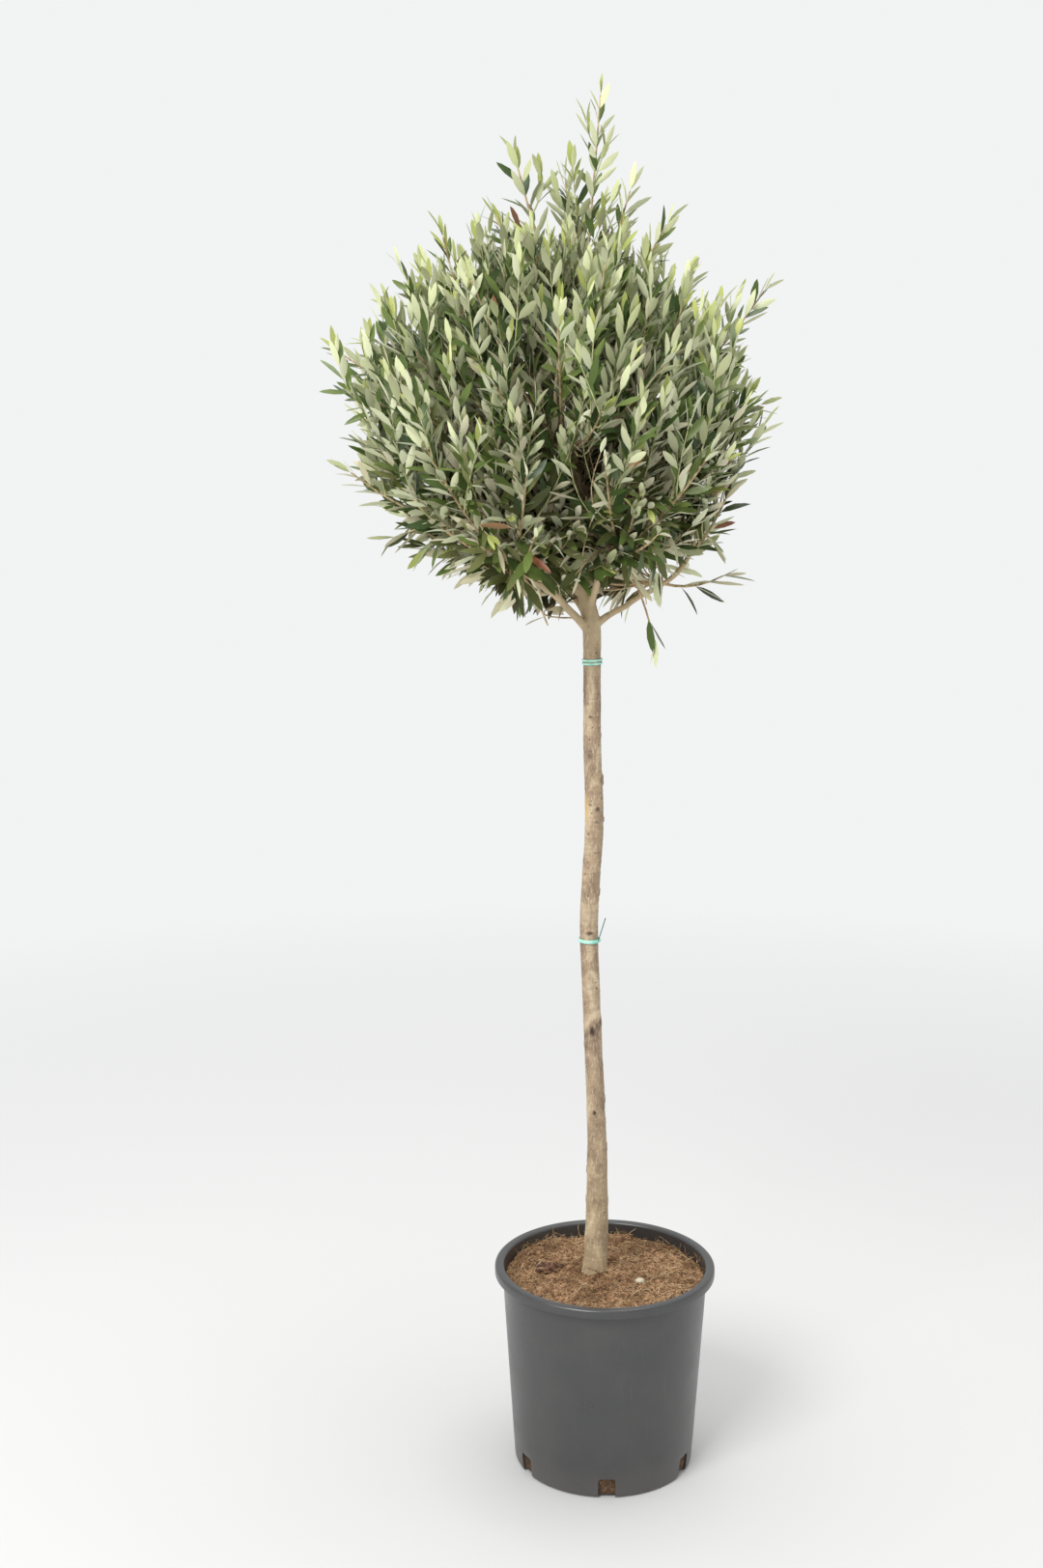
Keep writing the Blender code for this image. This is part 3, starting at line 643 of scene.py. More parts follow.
def dress_skin(piece):
    """Pushes the relief into the skin, and notes scars and the pale young wood, partly painted
    light, as attributes.
    """
    mesh = piece.data
    trunk = smooth(TRUNK_STATIONS, 120)
    fork = TRUNK_STATIONS[-3][2]
    moved, scars, youth = [], [], []
    for vertex in mesh.vertices:
        point = vertex.co
        scar = 0.0
        axis = at_height(trunk, point.z)
        if point.z < fork:
            share = 1 - min(max((point.z - fork + 0.03) / 0.03, 0), 1)
            lift, scar = relief_at(point, axis)
            lift, scar = lift * share, scar * share
        else:
            lift = WRINKLE * noise.noise(point * 130)
        # Paler above the fork: young wood, and painted light where the crown shades it.
        young = min(max((point.z - YOUNG_AND_LIT_FROM) / YOUNG_AND_LIT_RISE, 0), 1)
        moved.append(point + vertex.normal * lift)
        scars.append(scar)
        youth.append(young * YOUNG_AND_LIT_MOST)
    for vertex, point in zip(mesh.vertices, moved):
        vertex.co = point
    for name, values in (("scar", scars), ("youth", youth)):
        mesh.attributes.new(name, "FLOAT", "POINT").data.foreach_set("value", values)
    mesh.shade_smooth()


dress_skin(skin)
own(skin, "smooth young olive bark")
finished(skin, "bark", "trunk", "leader", *(f"bough_{name}" for name in BOUGHS))

# %% [markdown]
# ## The pot
# A nursery pot is blow-moulded from dark polypropylene. Its wall tapers, its lip is rolled over
# and hangs down as a skirt, and slots are cut through the corner of its foot for drainage. The
# shape is one profile turned about the axis, so a Screw modifier makes it. Small cutters then
# open the slots, and a Bevel takes the knife edge off them.

# %% Pot sizes
POT_HEIGHT = 0.295
POT_FOOT_RADIUS = 0.128
POT_WALL_TOP_RADIUS = 0.146
POT_WALL = 0.0024
POT_FLOOR = 0.003
LIP_RADIUS = 0.157
LIP_HEIGHT = 0.013
LIP_ROUNDING = 0.004
FOOT_ROUNDING = 0.006
DRAIN_SLOTS = 6
DRAIN_SLOT_WIDTH = 0.024
DRAIN_SLOT_TOP = 0.030
DRAIN_SLOT_REACH = 0.009
FIRST_DRAIN_SLOT = math.radians(30)
SOIL_LEVEL = 0.277
SOIL_EDGE_LEVEL = 0.270
TURNED_SIDES = 128
ARC_STEPS = 6


def rounding(centre_radius, centre_height, size, first, last):
    """Points of an arc in a profile, from one angle in degrees to another."""
    for step in range(ARC_STEPS + 1):
        turn = math.radians(first + (last - first) * step / ARC_STEPS)
        yield centre_radius + size * math.cos(turn), centre_height + size * math.sin(turn)


def wall_radius(height):
    """The pot's outer radius at a height on its wall."""
    lip_foot = POT_HEIGHT - LIP_HEIGHT
    return POT_FOOT_RADIUS + (POT_WALL_TOP_RADIUS - POT_FOOT_RADIUS) * height / lip_foot


def turned(name, profile, sides):
    """A solid of revolution about Z from (radius, height) points."""
    mesh = bpy.data.meshes.new(name)
    edges = [(i, i + 1) for i in range(len(profile) - 1)]
    mesh.from_pydata([(radius, 0, height) for radius, height in profile], edges, [])
    made = new_object(name, mesh)
    screw = made.modifiers.new("Turn", "SCREW")
    screw.steps = screw.render_steps = sides
    screw.use_merge_vertices = True
    screw.merge_threshold = 0.00001
    made = plain(made)
    shape = bmesh.new()
    shape.from_mesh(made.data)
    bmesh.ops.remove_doubles(shape, verts=shape.verts, dist=0.00001)
    bmesh.ops.recalc_face_normals(shape, faces=shape.faces)
    shape.to_mesh(made.data)
    shape.free()
    return made


# %% Pot shape
def make_pot():
    top, skirt = POT_HEIGHT, POT_HEIGHT - LIP_HEIGHT
    inner = POT_FOOT_RADIUS - POT_WALL
    neck = wall_radius(skirt) - POT_WALL
    roll = LIP_ROUNDING
    profile = [(0, POT_FLOOR)]
    profile += rounding(inner - FOOT_ROUNDING, POT_FLOOR + FOOT_ROUNDING, FOOT_ROUNDING, -90, 0)
    profile += [(inner + (neck - inner) * share, POT_FLOOR + (skirt - POT_FLOOR) * share)
                for share in (0.2, 0.4, 0.6, 0.8)]
    profile += [(neck, skirt)]
    profile += rounding(neck + roll, top - roll, roll, 180, 90)
    profile += rounding(LIP_RADIUS - roll, top - roll, roll, 90, 0)
    profile += rounding(LIP_RADIUS - POT_WALL / 2, skirt + POT_WALL / 2, POT_WALL / 2, 0, -180)
    profile += [(LIP_RADIUS - POT_WALL, top - roll), (neck + POT_WALL, top - roll)]
    profile += [(wall_radius(skirt), skirt), (wall_radius(skirt - 0.010) - 0.0002, skirt - 0.010)]
    profile += [(wall_radius(level), level) for level in (0.24, 0.20, 0.16, 0.12, 0.08, 0.04)]
    profile += rounding(POT_FOOT_RADIUS - FOOT_ROUNDING, FOOT_ROUNDING, FOOT_ROUNDING, 0, -90)
    profile += [(POT_FOOT_RADIUS - 0.014, 0), (POT_FOOT_RADIUS - 0.018, 0.0012), (0, 0.0012)]
    pot = turned("nursery_pot", profile, TURNED_SIDES)
    cutters = []
    for number in range(DRAIN_SLOTS):
        turn = Matrix.Rotation(FIRST_DRAIN_SLOT + 2 * math.pi * number / DRAIN_SLOTS, 4, "Z")
        shape = bmesh.new()
        bmesh.ops.create_cube(shape, size=1.0)
        size = (2 * DRAIN_SLOT_REACH, DRAIN_SLOT_WIDTH, 2 * DRAIN_SLOT_TOP)
        bmesh.ops.scale(shape, verts=shape.verts, vec=size)
        upright = [e for e in shape.edges if abs((e.verts[0].co - e.verts[1].co).x) > MM]
        bmesh.ops.bevel(shape, geom=upright, offset=4 * MM, segments=4, affect="EDGES", profile=0.5)
        bmesh.ops.translate(shape, verts=shape.verts, vec=(POT_FOOT_RADIUS, 0, 0))
        bmesh.ops.transform(shape, matrix=turn, verts=shape.verts)
        mesh = bpy.data.meshes.new(f"slot_{number}")
        shape.to_mesh(mesh)
        shape.free()
        cutters.append(new_object(mesh.name, mesh))
        slot = pot.modifiers.new("Slot", "BOOLEAN")
        slot.operation = "DIFFERENCE"
        slot.object = cutters[-1]
    soften = pot.modifiers.new("Soften", "BEVEL")
    soften.width = 0.4 * MM
    soften.segments = 2
    soften.limit_method = "ANGLE"
    soften.angle_limit = math.radians(50)
    pot = plain(pot)
    for cutter in cutters:
        bpy.data.objects.remove(cutter)
    pot.data.shade_smooth()
    pot.data.set_sharp_from_angle(angle=math.radians(50))
    return pot


pot = make_pot()

# %% [markdown]
# Moulded polypropylene is a dark grey all through, with a satin skin. Handling leaves paler
# scuffs, mostly on the lip and round the foot, and dust dulls it in soft blotches. So the colour
# stays nearly even, while the roughness carries most of what the eye reads as plastic.

# %% Pot material
def pot_material():
    tree, shader = new_material("moulded dark polypropylene", "383838", 0.38, 1.49)
    shader.inputs["Specular IOR Level"].default_value = 0.85
    dust = pattern(tree, 60 * MM, detail=5, roughness=0.6)
    base = ramp(tree, dust, (0.30, "343436"), (0.55, "393939"), (0.75, "40403F"))
    scratch = pattern(tree, (5 * MM, 5 * MM, 70 * MM), detail=3, distortion=0.4)
    marks = rescale(tree, scratch, 0, 0.10, 0.62, 0.78)
    base = blend(tree, marks, base, "77787A")
    where = add(tree, "ShaderNodeTexCoord").outputs["Object"]
    height = add(tree, "ShaderNodeSeparateXYZ", {0: where}).outputs["Z"]
    low = rescale(tree, height, 0.28, 0, 0.0, 0.05)
    base = blend(tree, low, base, "6E675F")
    tree.links.new(base, shader.inputs["Base Color"])
    tree.links.new(rescale(tree, dust, 0.26, 0.42, 0.3, 0.7), shader.inputs["Roughness"])
    # The mould's grain is far finer in truth, so it is drawn as coarse as it needs to show.
    grain = pattern(tree, 1.4 * MM, detail=2)
    flow = pattern(tree, (40 * MM, 40 * MM, 12 * MM), detail=2)
    raise_surface(tree, shader, blend(tree, 0.85, grain, flow), 0.25 * MM)
    return tree


pot_material()
own(pot, "moulded dark polypropylene")
finished(pot, "pot_plastic", "pot")

# %% [markdown]
# ## The soil
# Potting soil here is coarse peat with coconut fibre: an orange-brown mat with dark hollows,
# crumbs, loose fibres that stick up at the edge, one pale pebble and one dark lump. The body is
# turned like the pot's inside. Its top is pushed into clods with noise, then crumbs and fibres
# are scattered over it with Geometry Nodes, so that the surface is rough in truth.

# %% Soil materials
def soil_material(name, size, *stops):
    tree, shader = new_material(name, "7A5336", 0.95, 1.45)
    tone = ramp(tree, pattern(tree, size, detail=6, roughness=0.7), *stops)
    shade = ramp(tree, pattern(tree, 34 * MM, detail=3), (0.38, "BEB6AE"), (0.56, "F0F0F0"))
    tone = blend(tree, 1.0, tone, shade, "MULTIPLY")
    # Lower in the pot the soil is painted darker: painted shade, where it shows through the drain
    # slots.
    where = add(tree, "ShaderNodeTexCoord").outputs["Object"]
    height = add(tree, "ShaderNodeSeparateXYZ", {0: where}).outputs["Z"]
    tone = blend(tree, rescale(tree, height, 0.75, 0, 0.05, 0.24), tone, "3A2A1E")
    tree.links.new(tone, shader.inputs["Base Color"])
    raise_surface(tree, shader, pattern(tree, 2.5 * MM, detail=4, roughness=0.7), 1.2 * MM)
    return tree


soil_material("peat and coir", 6 * MM, (0.38, "43301F"), (0.47, "866346"), (0.55, "B08862"),
              (0.64, "D8B68E"))
soil_material("peat crumbs", 4 * MM, (0.41, "3E2C1E"), (0.49, "9E7856"), (0.57, "DAB68C"))
soil_material("coconut fibre", 14 * MM, (0.38, "92704E"), (0.50, "CCA678"), (0.62, "F0D8B0"))
soil_material("bark lump", 7 * MM, (0.40, "4E362A"), (0.60, "8E6852"))
soil_material("pale pebble", 9 * MM, (0.40, "DCD4BC"), (0.60, "F0EADA"))
soil_material("pale grit", 3 * MM, (0.40, "B9B4A6"), (0.60, "DAD6CB"))

# %% Soil body
SOIL_HEAP, TRUNK_MOUND = 8 * MM, 4 * MM
SOIL_CLOD = 4.5 * MM
SOIL_RINGS = 56
CLEAR = 0.3 * MM


def soil_height(x, y):
    """The height of the soil's rough top at a place: loose litter heaped on the CAD's soil."""
    spread = math.hypot(x, y)
    slope = SOIL_LEVEL + (SOIL_EDGE_LEVEL - SOIL_LEVEL) * min(spread / 0.14, 1)
    clod = noise.turbulence(Vector((x * 38, y * 38, 1.7)), 4, False) - 0.45
    wave = noise.noise(Vector((x * 14, y * 14, 5.1)))
    near = math.hypot(x - TRUNK_STATIONS[0][0], y - TRUNK_STATIONS[0][1])
    mound = TRUNK_MOUND * math.exp(-((near / 0.030) ** 4))
    return slope + SOIL_HEAP + SOIL_CLOD * clod + 1.5 * MM * wave + mound


def make_soil():
    inner = POT_FOOT_RADIUS - POT_WALL - CLEAR
    low = POT_FLOOR + CLEAR
    edge = SOIL_EDGE_LEVEL
    rim = wall_radius(edge) - POT_WALL - CLEAR
    profile = [(0, edge)] + [(rim * (i + 1) / SOIL_RINGS, edge) for i in range(SOIL_RINGS)]
    profile += [(inner + (rim - inner) * 0.1, 0.033)]
    profile += rounding(inner - FOOT_ROUNDING, low + FOOT_ROUNDING, FOOT_ROUNDING, 0, -90)
    profile.append((0, low))
    soil = turned("soil_body", profile, TURNED_SIDES)
    for vertex in soil.data.vertices:
        if vertex.co.z > edge - CLEAR:
            vertex.co.z = soil_height(vertex.co.x, vertex.co.y)
    soil.data.shade_smooth()
    return soil


soil = make_soil()
own(soil, "peat and coir")
finished(soil, "soil", "soil")


# %% Crumbs and fibres
def crumb_kinds(count):
    """Small angular lumps, a few millimetres across, in a collection of their own."""
    kinds = bpy.data.collections.new("crumb kinds")
    for number in range(count):
        shape = bmesh.new()
        bmesh.ops.create_icosphere(shape, subdivisions=1, radius=1.0)
        for vertex in shape.verts:
            vertex.co *= 0.75 + 0.5 * noise.noise(vertex.co * 1.3 + UP * 7 * number)
            vertex.co.z *= 0.7
        mesh = bpy.data.meshes.new(f"crumb_{number}")
        shape.to_mesh(mesh)
        shape.free()
        kinds.objects.link(bpy.data.objects.new(mesh.name, mesh))
    return kinds


def fibre_kinds(count):
    """Short bent fibres, one unit long and thin as coconut husk, in a collection."""
    kinds = bpy.data.collections.new("fibre kinds")
    for number in range(count):
        chance = random.Random(SEED + number)
        turn = Vector([chance.uniform(-0.3, 0.3) for _ in range(3)])
        end = Vector((1, chance.uniform(-0.2, 0.2), chance.uniform(0.0, 0.35)))
        route = arched(Vector((0, 0, 0)), end / 2 + turn, end, (0.024, 0.012), 6)
        made = tubes(f"fibre_{number}", [route], 3, "coconut fibre")
        bpy.context.scene.collection.objects.unlink(made)
        kinds.objects.link(made)
    return kinds


def scatter():
    """Scatters a collection's meshes over the faces above a lowest height, each turned and sized by
    chance.
    """
    tree, inputs = new_nodes("scattered on soil", Kinds="Collection", Density="Float",
                             Smallest="Float", Largest="Float", Tilt="Float", Lowest="Float",
                             Seed="Int", Finish="Material")
    place = add(tree, "GeometryNodeInputPosition").outputs[0]
    height = add(tree, "ShaderNodeSeparateXYZ", {0: place}).outputs["Z"]
    upward = add(tree, "ShaderNodeMath", {0: height, 1: inputs["Lowest"]},
                 operation="GREATER_THAN").outputs[0]
    spread = add(tree, "GeometryNodeDistributePointsOnFaces",
                 {"Mesh": inputs["Geometry"], "Selection": upward, "Density": inputs["Density"],
                  "Seed": inputs["Seed"]})
    kinds = add(tree, "GeometryNodeCollectionInfo",
                {"Collection": inputs["Kinds"], "Separate Children": True, "Reset Children": True})
    lean = add(tree, "ShaderNodeCombineXYZ", {0: inputs["Tilt"], 1: inputs["Tilt"], 2: 3.1416})
    back = add(tree, "ShaderNodeVectorMath", {0: lean.outputs[0], "Scale": -1.0}, operation="SCALE")
    turn = add(tree, "FunctionNodeRandomValue",
               {0: back.outputs[0], 1: lean.outputs[0], "Seed": inputs["Seed"]},
               data_type="FLOAT_VECTOR")
    size = add(tree, "FunctionNodeRandomValue", {"Seed": inputs["Seed"]}, data_type="FLOAT")
    for socket, source in ((2, inputs["Smallest"]), (3, inputs["Largest"])):
        tree.links.new(source, size.inputs[socket])
    placed = add(tree, "GeometryNodeInstanceOnPoints",
                 {"Points": spread.outputs["Points"], "Instance": kinds.outputs[0],
                  "Pick Instance": True, "Rotation": turn.outputs[0], "Scale": size.outputs[1]})
    real = add(tree, "GeometryNodeRealizeInstances", {"Geometry": placed.outputs[0]})
    done = add(tree, "GeometryNodeSetMaterial",
               {"Geometry": real.outputs[0], "Material": inputs["Finish"]})
    give_back(tree, done.outputs[0])
    return tree


def keep_in_pot(piece):
    """Pulls back what would stick through the wall, as the wall holds the real fibres."""
    for vertex in piece.data.vertices:
        most = wall_radius(vertex.co.z) - POT_WALL - CLEAR
        spread = vertex.co.xy.length
        if spread > most:
            vertex.co.xy *= most / spread


SCATTER = scatter()
LITTER = {
    "soil_crumbs": (crumb_kinds(5), 50000, 0.6 * MM, 2.4 * MM, 3.1, "peat crumbs"),
    "soil_fibres": (fibre_kinds(6), 22000, 8 * MM, 30 * MM, 0.5, "coconut fibre"),
    "soil_grit": (crumb_kinds(3), 700, 0.8 * MM, 1.6 * MM, 3.1, "pale grit"),
}
for seed, (name, (kinds, density, small, large, tilt, finish)) in enumerate(LITTER.items()):
    holder = new_object(name, soil.data.copy())
    piece = run_nodes(holder, SCATTER, Kinds=kinds, Density=density, Smallest=small, Largest=large,
                      Tilt=tilt, Lowest=0.2, Seed=seed + SEED,
                      Finish=bpy.data.materials[finish])
    keep_in_pot(piece)
    if name != "soil_fibres":
        piece.data.shade_flat()
    finished(piece, "soil")

# %% Fibres at the rim, a pebble and a lump
RIM_FIBRES = 130
PEBBLE, LUMP = (0.049, -0.036), (-0.080, 0.012)


def rim_fibres(chance):
    """Routes of fibres that stand up from the soil along the wall."""
    for _ in range(RIM_FIBRES):
        turn = chance.uniform(0, 2 * math.pi)
        out = Vector((math.cos(turn), math.sin(turn), 0))
        far = wall_radius(SOIL_LEVEL) - POT_WALL - chance.uniform(4, 22) * MM
        root = out * far + UP * (soil_height(*(out * far).xy) - 2 * MM)
        along = Vector((-out.y, out.x, 0)) * chance.uniform(-20, 20) * MM
        end = root + along - out * chance.uniform(-4, 12) * MM + UP * chance.uniform(4, 15) * MM
        bow = (root + end) / 2 + UP * chance.uniform(2, 8) * MM
        yield arched(root, bow, end, (0.7 * MM, 0.3 * MM), 6)


def stone(name, place, sizes, rough, finish):
    """A single lump on the soil."""
    shape = bmesh.new()
    bmesh.ops.create_icosphere(shape, subdivisions=3, radius=1.0)
    for vertex in shape.verts:
        vertex.co *= 1 + rough * noise.noise(vertex.co * 2.1)
        vertex.co = Vector([part * size for part, size in zip(vertex.co, sizes)])
        vertex.co += Vector((*place, soil_height(*place) + sizes[2] * 0.5))
    mesh = bpy.data.meshes.new(name)
    shape.to_mesh(mesh)
    shape.free()
    mesh.shade_smooth()
    return finished(own(new_object(name, mesh), finish), "soil")


edge_fibres = tubes("soil_rim_fibres", list(rim_fibres(random.Random(SEED))), 4, "coconut fibre")
keep_in_pot(edge_fibres)
finished(edge_fibres, "soil")
stone("soil_pebble", PEBBLE, (6.5 * MM, 5.5 * MM, 4.5 * MM), 0.15, "pale pebble")
stone("soil_lump", LUMP, (17 * MM, 11 * MM, 8 * MM), 0.7, "bark lump")

# %% [markdown]
# ## The ties
# Two loops of soft mint-green tying tube go round the stem, where it was tied while it grew. The
# upper one is wound twice, so a dark line shows between its two strands. The lower one is a single
# flat band, and a stub of its wire stands out to the right.

# %% Ties
def tie_material():
    tree, shader = new_material("soft mint tying tube", "A9E2D2", 0.5, 1.5)
    shade = pattern(tree, 8 * MM, detail=2)
    tone = ramp(tree, shade, (0.35, "8ED3C0"), (0.65, "BDEBDD"))
    tree.links.new(tone, shader.inputs["Base Color"])
    raise_surface(tree, shader, pattern(tree, 1.5 * MM, detail=2), 0.2 * MM)
    tree, shader = new_material("dark green wire", "2F6A60", 0.45, 1.5)
    tone = ramp(tree, pattern(tree, 4 * MM), (0.4, "285A54"), (0.6, "3C7D70"))
    tree.links.new(tone, shader.inputs["Base Color"])


def loop(height, radius, tilt):
    """A closed ring of strand, flat along the stem and a little tilted."""
    middle = at_height(limbs["trunk"], height)
    rows = []
    for step in range(49):
        turn = 2 * math.pi * step / 48
        out = middle.w + radius + 0.25 * MM
        dip = tilt * math.sin(turn)
        place = (middle.x + out * math.sin(turn), middle.y - out * math.cos(turn), height + dip)
        rows.append(Vector((*place, radius)))
    return rows


tie_material()
TIE_FLATTEN = 0.62
for name, node, strands, tilt in (
    ("tie_above", "tie_upper", ((1.1636, 1.55), (1.1590, 1.55)), 0.5 * MM),
    ("tie_below", "tie_lower", ((0.7730, 2.6),), 0.0),
):
    routes = [loop(height, size * MM, tilt) for height, size in strands]
    tie = tubes(name, routes, 12, "soft mint tying tube")
    for vertex in tie.data.vertices:
        middle = at_height(limbs["trunk"], vertex.co.z)
        out = vertex.co - middle.xyz
        out.z = 0
        inside = middle.w + 0.25 * MM
        far = out.length - inside
        vertex.co -= out.normalized() * far * (1 - TIE_FLATTEN)
    own(tie, "soft mint tying tube")
    finished(tie, "tie_plastic", node)

WIRE = ((-0.0130, -0.0120, 0.7745), (-0.0105, -0.0150, 0.7840), (-0.0070, -0.0160, 0.7960),
        (-0.0035, -0.0165, 0.8080))
wire = tubes("tie_wire_end", [[Vector((*row, 0.7 * MM)) for row in WIRE]], 8, "dark green wire")
finished(wire, "tie_plastic")

# %% [markdown]
# ## Growing the crown
# The CAD's masses were grown by a rule: tips are dealt out in layers round the crown, and each tip
# gets a twig that leaves the nearest stem at a set angle and arches towards it. The same rule runs
# here. The first round repeats the solids' own twigs. The next one deals out many more tips, much
# closer together and in more layers, and gives each a fine shoot from the nearest twig. High in
# the crown the shoots end upright, and at its foot they lean out. Noise swells the surface into
# lobes and opens hollows low down, and two places in front stay open on bare wood. So the crown
# keeps the solids' reach, and fills with growth as fine as the real one's.

# %% The crown's reach
CROWN_X = -0.078
CROWN_REACH = 0.290
CROWN_WAIST = 1.530
CROWN_RISE = 0.380
CROWN_DROP = 0.300
RISE_POWER = 1.5
LOWEST_TIP = 1.245
HIGHEST_TIP = 1.770
GOLDEN_ANGLE = math.pi * (3 - math.sqrt(5))
TIP_SCATTER = (0.88, 1.03)
TWIG_LAYERS = ((1.0, 0.126), (0.66, 0.132))
LONG_SHOOTS = (
    (-0.016, 0.000, 1.912), (-0.134, -0.030, 1.831), (-0.063, 0.040, 1.813),
    (0.028, -0.010, 1.792), (-0.285, -0.020, 1.690), (-0.369, -0.030, 1.573),
    (-0.362, -0.020, 1.422), (-0.303, -0.040, 1.330), (0.168, -0.030, 1.282),
    (0.212, -0.020, 1.504), (0.212, 0.000, 1.662), (0.060, -0.080, 1.190),
    (-0.075, -0.110, 1.205), (0.055, -0.235, 1.350), (-0.020, -0.265, 1.440),
    (-0.100, -0.250, 1.350), (-0.010, 0.255, 1.350),
)
TWIG_RADIUS = (0.0023, 0.0011)
TWIG_RINGS = 6
TWIG_LIFT = 0.16
BRANCH_ANGLE = math.radians(36)
FIRST_BRANCH = 0.06
LAST_BRANCH = 0.97
TIP_SHORTER = 0.020


def reach(height):
    """How far the crown reaches from its axis at a height."""
    if height > CROWN_WAIST:
        return CROWN_REACH * max(1 - ((height - CROWN_WAIST) / CROWN_RISE) ** RISE_POWER, 0)
    return CROWN_REACH * math.sqrt(max(1 - ((CROWN_WAIST - height) / CROWN_DROP) ** 2, 0))


def foliage_tips(layers, chance, lowest, highest):
    """Tips dealt out round the crown in even layers, each with its depth."""
    tips = []
    for depth, spacing in layers:
        height, turn = lowest, 0.0
        while height < highest:
            out = reach(height) * depth * chance.uniform(*TIP_SCATTER)
            place = (CROWN_X + out * math.cos(turn), out * math.sin(turn), height)
            tips.append((Vector(place), depth))
            turn += GOLDEN_ANGLE
            height += spacing**2 / (2 * math.pi * max(reach(height) * depth, spacing))
    return tips


def home_of(point):
    """The name of the mass whose heart is nearest."""
    return min(HEARTS, key=lambda name: (Vector(HEARTS[name]) - point).length)


def twig_route(parent, tip, radii, rings, lift):
    """A twig that leaves its parent at an angle and bends up, or down where its tip is low."""
    gap, arc = from_route(tip, parent)
    whole = length_of(parent)
    arc -= gap / math.tan(BRANCH_ANGLE)
    arc = min(max(arc, FIRST_BRANCH * whole), LAST_BRANCH * whole)
    start = at_arc(parent, arc)[0].xyz
    run = tip - start
    end = tip - run.normalized() * min(TIP_SHORTER, run.length / 2)
    bend = -lift if run.z > 0 else lift
    turn = (start + end) / 2 + UP * bend * run.length
    return arched(start, turn, end, radii, rings)


chance = random.Random(SEED)
solid_tips = foliage_tips(TWIG_LAYERS, chance, LOWEST_TIP, HIGHEST_TIP)
solid_tips += [(Vector(tip), 1.0) for tip in LONG_SHOOTS]
twigs = {name: [] for name in HEARTS}
for tip, depth in solid_tips:
    home = home_of(tip)
    stem = stems[home]
    twigs[home].append(twig_route(stem, tip, TWIG_RADIUS, TWIG_RINGS, TWIG_LIFT))
print(sum(len(rows) for rows in twigs.values()), "twigs as in the solids")

# %% Fine shoots
SHOOT_LAYERS = ((1.0, 0.050), (0.86, 0.054), (0.70, 0.060), (0.52, 0.068), (0.34, 0.078))
LOWEST_SHOOT, HIGHEST_SHOOT = 1.290, 1.735
SHOOT_RADIUS = (0.0012, 0.0006)
SHOOT_RINGS = 7
SHOOT_JITTER = 0.014
SHOOT_RUN = (0.085, 0.150)
SHOOT_SPREAD = 0.15
# What the leaves past a shoot's tip add to the crown, at its waist and at its top.
TIP_LEAF, TOP_LEAF = 0.040, 0.075
# Shoots low in the crown lean out, so their tips need less reach.
LOW_HEIGHT, LOW_SHARE = 1.42, 0.86
# The surface swells into lobes, and low down some of it is open.
LOBE_DEPTH, LOBE_WIDTH = 0.20, 0.11
HOLLOW_WIDTH, HOLLOW_FROM, WOODY_DEPTH = 0.075, 0.10, 0.8
# The crown is a little flatter from front to back than from side to side.
DEPTH_SHARE = 0.93
LONGEST_SHOOT = 0.30
LEAF_LENGTH = 0.043
LIMB_GAP = 0.0012
# Where the front of the crown is open on bare wood: middle in x and z, half width, half height.
OPENINGS = ((-0.030, 1.236, 0.085, 0.042), (-0.040, 1.420, 0.020, 0.048))
OPENING_BACK = -0.010
EDGE = 0.016
# The share of outwards and of up in a shoot's end, at the crown's foot and at its top.
FOOT_HEADING, TOP_HEADING = (0.90, 0.22), (0.24, 1.0)
FOOT_HEIGHT, TOP_HEIGHT = 1.27, 1.58
# Side shoots on each long shoot: back from its tip, and out to the side.
SIDE_SHOOTS = ((0.040, 0.018), (0.070, 0.028), (0.100, 0.034), (0.135, 0.040))
# Shaded shoots round the fork and the leader: middle, reach in x, y and z, and their number.
INNER_MIDDLE, INNER_REACH, INNER_SHOOTS = (-0.055, 0.0, 1.40), (0.15, 0.15, 0.16), 170
INNER_DEPTH = 0.3


def heading_at(tip, chance):
    """Which way a shoot ends: nearly upright in the upper crown, outwards at its foot."""
    out = Vector((tip.x - CROWN_X, tip.y, 0)).normalized()
    rise = min(max((tip.z - FOOT_HEIGHT) / (TOP_HEIGHT - FOOT_HEIGHT), 0), 1)
    share = [low + (high - low) * rise for low, high in zip(FOOT_HEADING, TOP_HEADING)]
    stray = Vector([chance.gauss(0, SHOOT_SPREAD) for _ in range(3)])
    return (out * share[0] + UP * share[1] + stray).normalized()


